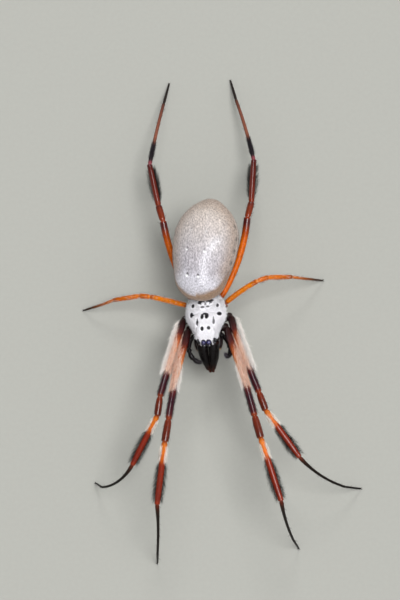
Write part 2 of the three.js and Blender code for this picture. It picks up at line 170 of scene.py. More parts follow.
def tinted(tree, factor, dark, light):
    """The piece's own tint attribute, darkened and lightened by a factor from 0 to 1."""
    tint = add(tree, "ShaderNodeAttribute", attribute_name="tint").outputs["Color"]
    spread = {"Value": factor, "From Min": 0.3, "From Max": 0.7, "To Min": dark, "To Max": light}
    amount = add(tree, "ShaderNodeMapRange", spread).outputs["Result"]
    scaled = add(tree, "ShaderNodeVectorMath", {0: tint, "Scale": amount}, operation="SCALE")
    return scaled.outputs["Vector"]


def leg_chitin():
    """Hard chitin: a thin polish on the dark parts gives crisp glints, the orange parts are satin."""
    made, tree = new_material("leg_chitin")
    colour = tinted(tree, object_noise(tree, 0.35), 0.72, 1.2)
    brightness = add(tree, "ShaderNodeRGBToBW", {"Color": colour}).outputs["Val"]
    polish = {"Value": brightness, "From Min": 0.03, "From Max": 0.1, "To Min": 0.55, "To Max": 0.04}
    pores = {"Height": object_noise(tree, 0.1, 2.0), "Distance": 0.0015 * MM}
    finish(tree, {"Base Color": colour, "Roughness": 0.34, "IOR": 1.5, "Specular IOR Level": 0.12,
                  "Coat Weight": add(tree, "ShaderNodeMapRange", polish).outputs["Result"],
                  "Coat Roughness": 0.09,
                  "Normal": add(tree, "ShaderNodeBump", pores).outputs["Normal"]})
    return made


def foot_chitin():
    """Thin dark chitin roughened by close-set hair sockets: it gives only a dull gleam."""
    made, tree = new_material("foot_chitin")
    sockets = {"Height": object_noise(tree, 0.05, 2.0), "Distance": 0.006 * MM}
    finish(tree, {"Base Color": tinted(tree, object_noise(tree, 0.2), 0.75, 1.2),
                  "Roughness": 0.45, "IOR": 1.5, "Specular IOR Level": 0.15,
                  "Normal": add(tree, "ShaderNodeBump", sockets).outputs["Normal"]})
    return made


def black_chitin():
    """Thick black chitin with a low polish and the faint pits that its hairs stand in."""
    made, tree = new_material("black_chitin")
    mottle = object_noise(tree, 0.3)
    gloss = {"Value": mottle, "From Min": 0.3, "From Max": 0.7, "To Min": 0.22, "To Max": 0.36}
    place = add(tree, "ShaderNodeTexCoord").outputs["Object"]
    cells = add(tree, "ShaderNodeTexVoronoi", {"Vector": place, "Scale": PER_MM / 0.2}).outputs["Distance"]
    pits = add(tree, "ShaderNodeMapRange", {"Value": cells, "From Max": 0.35}).outputs["Result"]
    relief = {"Height": pits, "Distance": 0.008 * MM, "Strength": 0.6}
    finish(tree, {"Base Color": tinted(tree, mottle, 0.7, 1.3),
                  "Roughness": add(tree, "ShaderNodeMapRange", gloss).outputs["Result"],
                  "IOR": 1.5, "Specular IOR Level": 0.14,
                  "Normal": add(tree, "ShaderNodeBump", relief).outputs["Normal"]})
    return made


def carapace_chitin():
    """Chitin that is matt where the silvery down covers it and smoother on the black bald spots."""
    made, tree = new_material("carapace_chitin")
    down = object_noise(tree, 0.06, 3.0, (1.0, 3.0, 1.0))
    bare = add(tree, "ShaderNodeAttribute", attribute_name="bare").outputs["Fac"]
    gloss = {"Value": bare, "To Min": 0.66, "To Max": 0.34}
    relief = {"Height": down, "Distance": 0.03 * MM}
    finish(tree, {"Base Color": tinted(tree, down, 0.92, 1.06),
                  "Roughness": add(tree, "ShaderNodeMapRange", gloss).outputs["Result"],
                  "IOR": 1.5, "Specular IOR Level": 0.25,
                  "Normal": add(tree, "ShaderNodeBump", relief).outputs["Normal"]})
    return made


def abdomen_skin():
    """Taut soft skin under very short silver hair: a satin sheen broken by fine lengthwise flecks."""
    made, tree = new_material("abdomen_skin")
    flecks = object_noise(tree, 0.22, 3.0, (1.0, 1.6, 1.0))
    gloss = {"Value": flecks, "From Min": 0.3, "From Max": 0.7, "To Min": 0.55, "To Max": 0.38}
    relief = {"Height": flecks, "Distance": 0.04 * MM, "Strength": 0.7}
    finish(tree, {"Base Color": tinted(tree, flecks, 0.56, 1.36),
                  "Roughness": add(tree, "ShaderNodeMapRange", gloss).outputs["Result"],
                  "IOR": 1.45, "Sheen Weight": 0.25, "Sheen Roughness": SHEEN_ROUGHNESS,
                  "Normal": add(tree, "ShaderNodeBump", relief).outputs["Normal"]})
    return made


def soft_skin():
    """Bare folded skin between hard plates: dull and finely wrinkled."""
    made, tree = new_material("soft_skin")
    wrinkle = object_noise(tree, 0.12, 3.0, (2.5, 1.0, 1.0))
    relief = {"Height": wrinkle, "Distance": 0.03 * MM}
    finish(tree, {"Base Color": tinted(tree, wrinkle, 0.75, 1.2), "Roughness": 0.55, "IOR": 1.45,
                  "Normal": add(tree, "ShaderNodeBump", relief).outputs["Normal"]})
    return made


def eye_lens():
    """A wet-looking lens over a dark blue-black cup, clear and very smooth."""
    made, tree = new_material("eye_lens")
    finish(tree, {"Base Color": tinted(tree, object_noise(tree, 0.5, 1.0), 0.8, 1.2), "Roughness": 0.16,
                  "IOR": 1.5, "Coat Weight": 1.0, "Coat Roughness": 0.1})
    return made


def hair(name, roughness, sheen, specular):
    """Fine hair; its tint runs a little darker or lighter from tuft to tuft, with a silky glint."""
    made, tree = new_material(name)
    shade = add(tree, "ShaderNodeAttribute", attribute_name="shade").outputs["Fac"]
    finish(tree, {"Base Color": tinted(tree, shade, 0.86, 1.14), "Roughness": roughness, "IOR": 1.5,
                  "Specular IOR Level": specular, "Sheen Weight": sheen, "Sheen Roughness": SHEEN_ROUGHNESS})
    return made


def floor_board():
    """A plain matt board, very slightly uneven in tone."""
    made, tree = new_material("floor_board")
    ends = {0: object_noise(tree, 0.6, 2.0), 6: to_linear("#9f9f99"), 7: to_linear("#a4a49e")}
    mix = add(tree, "ShaderNodeMix", ends, data_type="RGBA")
    finish(tree, {"Base Color": mix.outputs[2], "Roughness": 0.85, "IOR": 1.45, "Specular IOR Level": 0.2})
    return made


LEG_CHITIN = leg_chitin()
FOOT_CHITIN = foot_chitin()
BLACK_CHITIN = black_chitin()
CARAPACE_CHITIN = carapace_chitin()
ABDOMEN_SKIN = abdomen_skin()
SOFT_SKIN = soft_skin()
EYE_LENS = eye_lens()
PALE_HAIR = hair("pale_hair", 0.5, 0.3, 0.5)
DARK_HAIR = hair("dark_hair", 0.45, 0.0, 0.25)

# ---------------------------------------------------------------- numbers to shapes


def curve_at(stations, x):
    """Values at x of the smooth curve through [x, value] stations."""
    xs, ys = np.array(stations, float).T
    x = np.clip(np.asarray(x, float), xs[0], xs[-1])
    i = np.clip(np.searchsorted(xs, x, side="left") - 1, 0, len(xs) - 2)
    before, after = np.maximum(i - 1, 0), np.minimum(i + 2, len(xs) - 1)
    step, rise = xs[i + 1] - xs[i], ys[i + 1] - ys[i]
    start = (ys[i + 1] - ys[before]) / (xs[i + 1] - xs[before])
    end = (ys[after] - ys[i]) / (xs[after] - xs[i])
    t = (x - xs[i]) / step
    return ys[i] + rise * t + t * (1 - t) * ((start * step - rise) * (1 - t) - (end * step - rise) * t)


def ease(low, high, x):
    """0 below low, 1 above high, smooth between; low may be the larger."""
    t = np.clip((np.asarray(x, float) - low) / (high - low), 0, 1)
    return t * t * (3 - 2 * t)


def colours_at(stations, x):
    """Linear colours at x, blended between [x, hex] stations."""
    xs = [s[0] for s in stations]
    tones = np.array([to_linear(s[1])[:3] for s in stations])
    return np.stack([np.interp(x, xs, tones[:, c]) for c in range(3)], axis=-1)


def blend(a, b, share):
    """Colours a turned towards colour b by a share from 0 to 1."""
    return a + (b - a) * np.asarray(share)[..., None]


def tone(hex_colour):
    """A hex colour as linear red, green and blue."""
    return np.array(to_linear(hex_colour)[:3])


def direction(heading, pitch):
    """Unit directions from headings and pitches in degrees."""
    h, p = np.radians(heading), np.radians(pitch)
    return np.stack([np.cos(p) * np.cos(h), np.cos(p) * np.sin(h), np.sin(p) + 0 * h], axis=-1)


def sideways(forward, up=Z):
    """The left and top directions that go with forward ones, square to them."""
    left = unit(np.cross(up, forward))
    return left, np.cross(forward, left)


class Place:
    """A local frame: where it stands, and its forward, left and top directions."""

    def __init__(self, origin, heading, pitch):
        self.origin = np.array(origin, float) + CENTRE_SHIFT
        self.forward = direction(heading, pitch)
        self.left, self.top = sideways(self.forward)

    def out(self, points):
        """Points given as forward, left, top, in the spider's own space."""
        p = np.asarray(points, float)
        return self.origin + p[..., :1] * self.forward + p[..., 1:2] * self.left + p[..., 2:] * self.top


BODY = Place([0.81, -2.44, 8.8], -87, 5)
ABDOMEN = Place([1.05, 7.65, 11.7], 81, 2)


def smooth_path(points, count):
    """A smooth line through points, as count evenly spread ones."""
    p = np.array(points, float)
    knots = np.concatenate([[0], np.cumsum(np.linalg.norm(np.diff(p, axis=0), axis=1))])
    at = np.linspace(0, knots[-1], count)
    return np.stack([curve_at(np.stack([knots, p[:, c]], axis=1), at) for c in range(3)], axis=1)


class Loft:
    """A closed skin of rings. A mark is a number for each point of each ring, for colours and coats."""

    def __init__(self, rings, **marks):
        self.rings = np.asarray(rings, float)
        self.marks = {k: np.broadcast_to(v, self.rings.shape[:2]).astype(float) for k, v in marks.items()}
        self.measure()

    def measure(self):
        """Works out the outward normals and the direction from ring to ring."""
        around = np.roll(self.rings, -1, axis=1) - np.roll(self.rings, 1, axis=1)
        run = np.gradient(self.rings, axis=0)
        normals = np.cross(around, run)
        normals /= np.maximum(np.linalg.norm(normals, axis=-1, keepdims=True), 1e-12)
        spokes = self.rings - self.rings.mean(axis=1, keepdims=True)
        self.inward = np.sum(normals * spokes) < 0
        self.normals = -normals if self.inward else normals
        self.lie = run / np.maximum(np.linalg.norm(run, axis=-1, keepdims=True), 1e-12)

    def part(self, first, last):
        """The skin between two rings, as a closed skin of its own."""
        marks = {label: grid[first:last + 1] for label, grid in self.marks.items()}
        return Loft(self.rings[first:last + 1], **marks)

    def push(self, amounts):
        """Moves the surface out along its normals, in mm."""
        self.rings = self.rings + self.normals * np.asarray(amounts)[..., None]
        self.measure()
        return self

    def scatter(self, count, weight, rng):
        """Random places on the skin, denser where weight is larger, with all that a tuft needs there."""
        r = self.rings
        nxt = np.roll(r, -1, axis=1)
        area = np.linalg.norm(np.cross(r[1:] - r[:-1], nxt[:-1] - r[:-1]), axis=-1)
        share = np.cumsum((area * np.maximum(weight, 0)[:-1]).ravel())
        cell = np.searchsorted(share, rng.random(count) * share[-1])
        i, j = np.divmod(np.minimum(cell, area.size - 1), r.shape[1])
        a, b = rng.random(count), rng.random(count)
        k = (j + 1) % r.shape[1]

        def mixed(grid):
            u, v = (a, b) if grid.ndim == 2 else (a[:, None], b[:, None])
            return ((grid[i, j] * (1 - u) + grid[i + 1, j] * u) * (1 - v)
                    + (grid[i, k] * (1 - u) + grid[i + 1, k] * u) * v)

        spots = {name: mixed(grid) for name, grid in self.marks.items()}
        spots.update(point=mixed(r), normal=unit(mixed(self.normals)), lie=unit(mixed(self.lie)))
        spots["root"] = np.stack([(i + a) / (len(r) - 1), (j + b) / r.shape[1]], axis=1)
        return spots


def new_object(name, points, corners, starts, material, point_data=None, uv=None):
    """A mesh object from points in mm, corner indices and the first corner of each face."""
    mesh = bpy.data.meshes.new(name)
    mesh.vertices.add(len(points))
    mesh.vertices.foreach_set("co", np.asarray(points * MM, np.float32).ravel())
    mesh.loops.add(len(corners))
    mesh.loops.foreach_set("vertex_index", np.asarray(corners, np.int32))
    mesh.polygons.add(len(starts))
    mesh.polygons.foreach_set("loop_start", np.asarray(starts, np.int32))
    mesh.update(calc_edges=True)
    mesh.polygons.foreach_set("use_smooth", np.ones(len(starts), bool))
    for label, values in (point_data or {}).items():
        if values.ndim == 1:
            mesh.attributes.new(label, "FLOAT", "POINT").data.foreach_set("value", values.astype(np.float32))
        elif label == "tint":
            flat = np.concatenate([values, np.ones((len(values), 1))], axis=1).astype(np.float32)
            mesh.attributes.new(label, "FLOAT_COLOR", "POINT").data.foreach_set("color", flat.ravel())
        else:
            layer = mesh.attributes.new(label, "FLOAT_VECTOR", "POINT")
            layer.data.foreach_set("vector", values.astype(np.float32).ravel())
    if uv is not None:
        mesh.uv_layers.new(name="lengthwise").data.foreach_set("uv", uv.astype(np.float32).ravel())
    if material:
        mesh.materials.append(material)
    return put(name, mesh)


def loft_arrays(loft):
    """Points, face corners, face starts and UVs of a loft, its two ends closed by a fan."""
    rows, sides = loft.rings.shape[:2]
    i, j = [g.ravel() for g in np.meshgrid(np.arange(rows - 1), np.arange(sides), indexing="ij")]
    k = (j + 1) % sides
    quads = np.stack([i * sides + j, (i + 1) * sides + j, (i + 1) * sides + k, i * sides + k], axis=1)
    turns = ((i, j), (i + 1, j), (i + 1, j + 1), (i, j + 1))
    uv = np.stack([np.stack([a / (rows - 1), b / sides], axis=1) for a, b in turns], axis=1)
    points = with_ends(loft.rings)
    side = np.arange(sides)
    after = (side + 1) % sides
    end_ring = (rows - 1) * sides
    first = np.stack([side, after, np.full(sides, rows * sides)], axis=1)
    last = np.stack([after + end_ring, side + end_ring, np.full(sides, rows * sides + 1)], axis=1)
    fans = np.concatenate([first, last])
    ends = np.repeat([0.0, 1.0], sides)
    fan_uv = np.stack([np.stack([ends, np.tile(side / sides, 2)], axis=1)] * 3, axis=1)
    if not loft.inward:
        quads, uv, fans, fan_uv = quads[:, ::-1], uv[:, ::-1], fans[:, ::-1], fan_uv[:, ::-1]
    corners = np.concatenate([quads.ravel(), fans.ravel()])
    starts = np.concatenate([np.arange(len(quads)) * 4, len(quads) * 4 + np.arange(len(fans)) * 3])
    return points, corners, starts, np.concatenate([uv.reshape(-1, 2), fan_uv.reshape(-1, 2)])


def with_ends(grid):
    """A mark or colour grid as a list, with the two end points' values added."""
    flat = grid.reshape((-1,) + grid.shape[2:])
    return np.concatenate([flat, grid[:1].mean(axis=1), grid[-1:].mean(axis=1)])


def settle(piece, slot, *nodes):
    """Says what a finished piece rides on and which nodes it replaces; the slot argument is not used."""
    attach(piece, "root")
    if nodes:
        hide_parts(*nodes)
    return piece


def skin(name, lofts, material, tints, slot, nodes=(), **extra):
    """One piece made of one or more lofts with their tints, and extra marks such as bare."""
    points, corners, starts, uvs, colours = [], [], [], [], []
    marks = {label: [] for label in extra}
    point_count = corner_count = 0
    for n, (loft, tint) in enumerate(zip(lofts, tints)):
        p, c, s, uv = loft_arrays(loft)
        points.append(p)
        corners.append(c + point_count)
        starts.append(s + corner_count)
        uvs.append(uv)
        colours.append(with_ends(np.broadcast_to(tint, loft.rings.shape)))
        for label, grids in extra.items():
            marks[label].append(with_ends(np.broadcast_to(grids[n], loft.rings.shape[:2])))
        point_count += len(p)
        corner_count += len(c)
    data = {"tint": np.concatenate(colours)}
    data.update({label: np.concatenate(values) for label, values in marks.items()})
    made = new_object(name, np.concatenate(points), np.concatenate(corners), np.concatenate(starts),
                      material, data, np.concatenate(uvs))
    return settle(made, slot, *nodes)


# ---------------------------------------------------------------- tufts of hair


ROOT_DEPTH = 0.04  # how deep a tuft of unit length stands in the skin
FLATNESS = 0.6  # the thickness of a tuft as a share of its width


def tuft_shape(name, slender, bend, rings=3):
    """One tuft of unit length along Z: a tapered three-sided blade that curves over towards X."""
    heights = np.linspace(-ROOT_DEPTH, 1, rings + 1)
    angles = np.radians([90, 210, 330])
    points, patch = [], []
    for n, z in enumerate(heights[:-1]):
        wide = slender * (1 - 0.75 * (n / rings) ** 1.5)
        for side, angle in enumerate(angles):
            points.append([bend * z * z + FLATNESS * wide * math.sin(angle), wide * math.cos(angle), z])
            patch.append([n / rings - 0.5, side / 3 - 0.5, 0])
    points.append([bend, 0, 1])
    patch.append([0.5, 0, 0])
    faces = [[0, 2, 1]]
    for n in range(rings - 1):
        for side in range(3):
            a, b = 3 * n + side, 3 * n + (side + 1) % 3
            faces.append([a, b, b + 3, a + 3])
    last = 3 * (rings - 1)
    faces += [[last + side, last + (side + 1) % 3, 3 * rings] for side in range(3)]
    faces = [face[::-1] for face in faces]
    starts = np.concatenate([[0], np.cumsum([len(f) for f in faces])[:-1]])
    data = {"patch": np.array(patch, float)}
    return new_object(name, np.array(points) / MM, np.concatenate(faces), starts, None, data)


def tuft_tree():
    """Stands a tuft on every point, aimed and sized by the point, and joins them into one mesh."""
    tree = bpy.data.node_groups.new("tufts_on_points", "GeometryNodeTree")
    kinds = {"Points": "Geometry", "Tuft": "Object", "Patch": "Float", "Finish": "Material"}
    for label, kind in kinds.items():
        tree.interface.new_socket(label, in_out="INPUT", socket_type=f"NodeSocket{kind}")
    tree.interface.new_socket("Coat", in_out="OUTPUT", socket_type="NodeSocketGeometry")
    given = add(tree, "NodeGroupInput").outputs

    told = {}
    for label in ("aim", "lie", "size", "patch", "root"):
        named = add(tree, "GeometryNodeInputNamedAttribute", {"Name": label}, data_type="FLOAT_VECTOR")
        told[label] = named.outputs["Attribute"]
    stood = add(tree, "FunctionNodeAlignRotationToVector", {"Vector": told["aim"]}, axis="Z")
    turned = add(tree, "FunctionNodeAlignRotationToVector",
                 {"Rotation": stood.outputs[0], "Vector": told["lie"]}, axis="X", pivot_axis="Z")
    shape = add(tree, "GeometryNodeObjectInfo", {"Object": given["Tuft"]}, transform_space="ORIGINAL")
    placed = add(tree, "GeometryNodeInstanceOnPoints",
                 {"Points": given["Points"], "Instance": shape.outputs["Geometry"],
                  "Rotation": turned.outputs[0], "Scale": told["size"]})
    joined = add(tree, "GeometryNodeRealizeInstances", {"Geometry": placed.outputs[0]})
    inside = add(tree, "ShaderNodeVectorMath", {0: told["patch"], "Scale": given["Patch"]}, operation="SCALE")
    spot = add(tree, "ShaderNodeVectorMath", {0: told["root"], 1: inside.outputs[0]}, operation="ADD")
    mapped = add(tree, "GeometryNodeStoreNamedAttribute",
                 {"Geometry": joined.outputs[0], "Name": "OFBake", "Value": spot.outputs[0]},
                 data_type="FLOAT2", domain="CORNER")
    painted = add(tree, "GeometryNodeSetMaterial",
                  {"Geometry": mapped.outputs[0], "Material": given["Finish"]})
    add(tree, "NodeGroupOutput", {"Coat": painted.outputs[0]})
    return tree


TUFTS = tuft_tree()
PATCH = 0.003  # how far one tuft spreads on its map
USUAL_BATCH = {
    "rise_spread": 8,  # degrees
    "sway": 0.25,  # how far tufts lean to either side of the way they lie
    "length_spread": 0.18,  # as a share of the length
    "width": 1.0,
}
SHORTEST = 0.35  # as a share of the batch's length
LONGEST = 1.7
WIDTH_SPREAD = 0.2
LEAST_CURL = 0.5  # as a share of the shape's bend
MOST_CURL = 1.4


def coat(name, batches, material, slot, shape):
    """One piece of joined tufts. A batch says where tufts stand, and their rise, length, width and tint."""
    rng = np.random.default_rng(sum(map(ord, name)))
    told = []
    for spots, batch in batches:
        batch = {**USUAL_BATCH, **batch}
        count = len(spots["point"])
        rise = np.radians(batch["rise"] + batch["rise_spread"] * rng.standard_normal(count))[:, None]
        across = np.cross(spots["normal"], spots["lie"])
        sway = batch["sway"] * rng.standard_normal(count)[:, None]
        lie = unit(spots["lie"] + across * sway)
        length = batch["length"] * (1 + batch["length_spread"] * rng.standard_normal(count))
        length = np.clip(length, SHORTEST * batch["length"], LONGEST * batch["length"])
        width = batch["width"] * (1 + WIDTH_SPREAD * rng.standard_normal(count))
        curl = rng.uniform(LEAST_CURL, MOST_CURL, count)
        told.append({
            "point": spots["point"],
            "aim": unit(lie * np.cos(rise) + spots["normal"] * np.sin(rise)),
            "lie": lie * np.sin(rise) - spots["normal"] * np.cos(rise),
            "size": np.stack([length * curl, length * np.abs(width), length], axis=1) * MM,
            "root": np.concatenate([spots["root"], np.zeros((count, 1))], axis=1),
            "tint": np.broadcast_to(batch["tint"], (count, 3)),
            "shade": rng.random(count),
        })
    data = {label: np.concatenate([batch[label] for batch in told]) for label in told[0]}
    seeds = new_object(name + "_seeds", data.pop("point"), [], [], None, data)
    tuft = tuft_shape(name + "_tuft", **shape)
    grow = seeds.modifiers.new("tufts", "NODES")
    grow.node_group = TUFTS
    values = {"Tuft": tuft, "Patch": PATCH, "Finish": material}
    for item in TUFTS.interface.items_tree:
        if item.in_out == "INPUT" and item.name in values:
            grow[item.identifier] = values[item.name]
    bpy.context.view_layer.update()
    grown = seeds.evaluated_get(bpy.context.evaluated_depsgraph_get())
    mesh = bpy.data.meshes.new_from_object(grown)
    for label in ("patch", "root", "aim", "lie", "size"):
        if label in mesh.attributes:
            mesh.attributes.remove(mesh.attributes[label])
    bpy.data.objects.remove(seeds)
    bpy.data.objects.remove(tuft)
    mesh.name = name
    return settle(put(name, mesh), slot)


# ---------------------------------------------------------------- shapes used by several parts


def bell(low, high, x, soft=0.03):
    """1 between low and high, 0 outside, with soft edges."""
    return ease(low - soft, low + soft, x) * (1 - ease(high - soft, high + soft, x))


def hump(distance, reach):
    """1 at no distance, falling smoothly to about a third at reach and to nothing beyond."""
    return np.exp(-(np.asarray(distance) / reach) ** 2)


def on_side(at, side):
    """A place given for the spider's left side, on that side or mirrored to its right."""
    return np.array(at) * [1, side, 1]


def rod_loft(points, radii, rows, sides):
    """A round rod along a smooth line through points."""
    line = smooth_path(points, rows)
    share = np.linspace(0, 1, rows)
    left, top = sideways(unit(np.gradient(line, axis=0)))
    turn = np.linspace(0, 2 * np.pi, sides, endpoint=False)[None, :, None]
    ring = np.sin(turn) * left[:, None] + np.cos(turn) * top[:, None]
    return Loft(line[:, None] + curve_at(radii, share)[:, None, None] * ring, share=share[:, None])


def ball_loft(place, at, size, rows=20, sides=28):
    """An egg or ball in a local frame, its rings running from back to front."""
    polar = np.linspace(0.03, np.pi - 0.03, rows)[:, None]
    turn = np.linspace(0, 2 * np.pi, sides, endpoint=False)[None]
    forward = -np.cos(polar) + 0 * turn
    left, top = np.sin(polar) * np.sin(turn), np.sin(polar) * np.cos(turn)
    grid = np.stack([forward, left, top], axis=-1)
    return Loft(place.out(np.array(at) + grid * np.array(size)), forward=forward, top=top)


# ---------------------------------------------------------------- carapace

CARAPACE_BACK, CARAPACE_FRONT = -3.9, 4.75
CARAPACE_DEPTH = 0.45
CARAPACE_WIDTHS = [
    [-3.9, 1.2], [-3.3, 2.1], [-2.4, 2.75], [-1.2, 3.12], [0, 3.16], [0.7, 3.0], [1.5, 2.56],
    [2.1, 2.2], [2.8, 1.92], [3.6, 1.68], [4.2, 1.46], [4.75, 1.12]]
CARAPACE_HEIGHTS = [
    [-3.9, 0.55], [-2.6, 1.1], [-1.2, 1.5], [-0.4, 1.42], [0.5, 1.85], [1.8, 2.25], [3.2, 2.05], [4.2, 1.85],
    [4.75, 1.6]]
# how squarely the shield meets its rim: rounded behind, blunt and steep over the face
CARAPACE_BLUNTNESS = [[-3.9, 3], [0.5, 3], [1.6, 3.4], [2.8, 7], [4, 11], [4.75, 11]]
DOWN_DEPTH = 0.05  # how far the skin lies inside the tips of the down

# bald spots: forward, left, half length, half width, darkness
BALD_SPOTS = [
    [-1.57, -1.90, 0.37, 0.26, 1.0], [-1.42, 1.98, 0.32, 0.24, 0.95],
    [-0.08, -2.16, 0.46, 0.30, 1.0], [-0.05, -1.95, 0.16, 0.3, 1.0], [-0.03, 2.23, 0.34, 0.39, 1.0],
    [0.33, -0.41, 0.56, 0.29, 1.0], [0.3, 0.31, 0.58, 0.33, 1.0], [-0.1, -0.05, 0.2, 0.42, 1.0],
    [1.42, -1.2, 0.46, 0.2, 1.0], [1.0, -1.18, 0.35, 0.11, 1.0],
    [1.3, 1.40, 0.5, 0.2, 0.88], [0.8, 1.36, 0.35, 0.12, 0.85],
    [2.42, -0.43, 0.36, 0.28, 1.0], [2.38, 0.60, 0.32, 0.29, 1.0],
    [-1.2, -0.35, 0.2, 0.34, 0.85], [-1.25, 0.46, 0.18, 0.3, 0.85],
    [-2.05, -0.75, 0.34, 0.4, 0.95], [-2.3, 0.75, 0.3, 0.65, 0.95], [-1.95, 0.1, 0.42, 1.1, 0.8]]
# pearly knobs on the dark patch behind: forward, left, radius
KNOBS = [[-1.8, -0.28, 0.3], [-1.82, 0.46, 0.3], [-2.1, 0.1, 0.16], [-1.6, -0.9, 0.16],
         [-1.65, 0.98, 0.14]]
EYES = {
    "upper_middle_eye": ([4.5, 0.41, 1.33], 0.34),
    "lower_middle_eye": ([4.79, 0.38, 0.66], 0.29),
    "upper_side_eye": ([4.06, 1.38, 0.92], 0.22),
    "lower_side_eye": ([4.36, 1.24, 0.42], 0.22),
}
SIDES = {"left": 1, "right": -1}


def knob_reaches(forward, left):
    """For each knob, how far places lie from its middle, and its radius."""
    return [(np.hypot(forward - at, left - across), radius) for at, across, radius in KNOBS]


def carapace_loft(rows=170, tops=84, unders=16):
    """The shield over the front body, with its grooves, its eye swellings and its low humps."""
    middle = (CARAPACE_FRONT + CARAPACE_BACK) / 2
    half = (CARAPACE_FRONT - CARAPACE_BACK) / 2
    a = -np.cos(np.linspace(0.04, np.pi - 0.04, rows))[:, None]
    turn = np.concatenate([np.linspace(-np.pi / 2, np.pi / 2, 2 * tops, endpoint=False),
                           np.linspace(np.pi / 2, 3 * np.pi / 2, 2 * unders, endpoint=False)])[None]
    share, over = np.sin(turn), np.cos(turn)
    station = middle + half * a + 0 * turn
    rim = np.sqrt(np.minimum(1, a ** 2 + (1 - a ** 2) * share ** 2))
    dome = np.maximum(0, 1 - rim ** curve_at(CARAPACE_BLUNTNESS, station)) ** 0.6
    rise = np.where(over >= 0, curve_at(CARAPACE_HEIGHTS, station) - DOWN_DEPTH, 0.1 - CARAPACE_DEPTH)
    left = (curve_at(CARAPACE_WIDTHS, station) - DOWN_DEPTH) * share
    loft = Loft(BODY.out(np.stack([station, left, rise * dome], axis=-1)),
                forward=station, left=left, upper=(over > 0) * dome)
    side = np.abs(left)
    on_top = ease(0.1, 0.45, loft.marks["upper"])
    groove = hump(side - curve_at([[-0.6, 0.25], [1.0, 0.95], [3.2, 1.75]], station), 0.16)
    groove = groove * bell(-0.5, 3.0, station, 0.4)
    pit = hump(station + 0.75, 0.28) * hump(left, 0.55)
    rays = sum(hump(np.arctan2(side, station + 0.7) - angle, 0.09) for angle in (1.25, 1.75, 2.2))
    rays = rays * ease(0.5, 1.0, np.hypot(side, station + 0.7)) * (1 - ease(2.4, 3.1, side))
    humps = hump(np.hypot(station - 0.35, (side - 0.36) * 1.1), 0.34)
    amounts = -0.13 * groove - 0.22 * pit - 0.07 * rays + 0.1 * humps
    for at, radius in EYES.values():
        near = np.sqrt((station - at[0]) ** 2 + (side - at[1]) ** 2 + (rise * dome - at[2]) ** 2)
        amounts = amounts + 0.09 * hump(near, 1.35 * radius)
    for reach, radius in knob_reaches(station, left):
        amounts = amounts + 0.5 * radius * hump(reach, 0.75 * radius)
    edge = hump(rim - 0.985, 0.02) * (over > -0.2)
    return loft.push(amounts * on_top + 0.05 * edge)


def carapace_baldness(forward, left, upper):
    """How bare the shield is: 1 on the bald spots, round the eyes, along the front edge and below."""
    bare = np.zeros_like(forward)
    for at, across, long, wide, depth in BALD_SPOTS:
        reach = np.hypot((forward - at) / long, (left - across) / wide)
        bare = np.maximum(bare, depth * (1 - ease(0.84, 1.1, reach)))
    for at, radius in EYES.values():
        reach = np.hypot(forward - at[0], np.abs(left) - at[1])
        bare = np.maximum(bare, 1 - ease(1.2 * radius, 1.45 * radius, reach))
    tongues = 0.9 * np.maximum(hump(np.abs(left) - 0.86, 0.14), hump(left, 0.12))
    front = ease(4.3, 4.45, forward + 0.08 * np.abs(left)) * (1 - tongues)
    return np.maximum(bare, np.maximum(front, 1 - ease(0.1, 0.2, upper)))


def build_carapace():
    loft = carapace_loft()
    forward, left, upper = (loft.marks[k] for k in ("forward", "left", "upper"))
    bare = carapace_baldness(forward, left, upper)
    # painted shade: the down greys a little towards the shield's sloping margins
    edge = ease(0.6, 0.95, np.abs(left) / curve_at(CARAPACE_WIDTHS, forward))
    down = blend(np.broadcast_to(tone("#f5f3f8"), bare.shape + (3,)), tone("#cfc9d2"), 0.15 * edge)
    tint = blend(down, tone("#120e16"), bare)
    knobs = knob_reaches(forward, left)
    for reach, radius in knobs:
        tint = blend(tint, tone("#fbfaff"), 1 - ease(0.75 * radius, 1.1 * radius, reach))
    skin("carapace_shield", [loft], CARAPACE_CHITIN, [tint], "carapace", ["carapace"], bare=[bare])
    rng = np.random.default_rng(11)
    on_knobs = np.minimum(sum(hump(reach, 1.3 * radius) for reach, radius in knobs), 1)
    behind = carapace_baldness(forward - 0.2, left, upper)  # where the tips of the down lie
    cover = (1 - bare) ** 3 * (1 - behind) ** 2 * (1 - on_knobs) * (upper > 0.12)
    spots = loft.scatter(12500, cover, rng)
    spots["lie"] = unit(-spots["lie"] + 0.5 * spots["left"][:, None] / 3.3 * BODY.left)
    edge = ease(0.75, 0.35, spots["upper"])
    batches = [(spots, {"rise": 12 + 26 * edge, "length": 0.27 + 0.12 * edge, "tint": tone("#f9f8fc"),
                        "sway": 0.5})]
    coat("carapace_down", batches, PALE_HAIR, "white_hair", {"slender": 0.05, "bend": 0.22, "rings": 2})
    for name, (at, radius) in EYES.items():
        for side_name, side in SIDES.items():
            eye = ball_loft(BODY, on_side(at, side), [radius] * 3, 22, 32)
            # the upper middle lenses carry a painted blue-violet eyeshine; the others keep their own
            # blue-black
            lens_tone_with_eyeshine = tone("#1c1650") if name == "upper_middle_eye" else tone("#0c0b16")
            skin(f"{name}_{side_name}_lens", [eye], EYE_LENS, [lens_tone_with_eyeshine], "eye", [f"{name}_{side_name}"])


# ---------------------------------------------------------------- abdomen

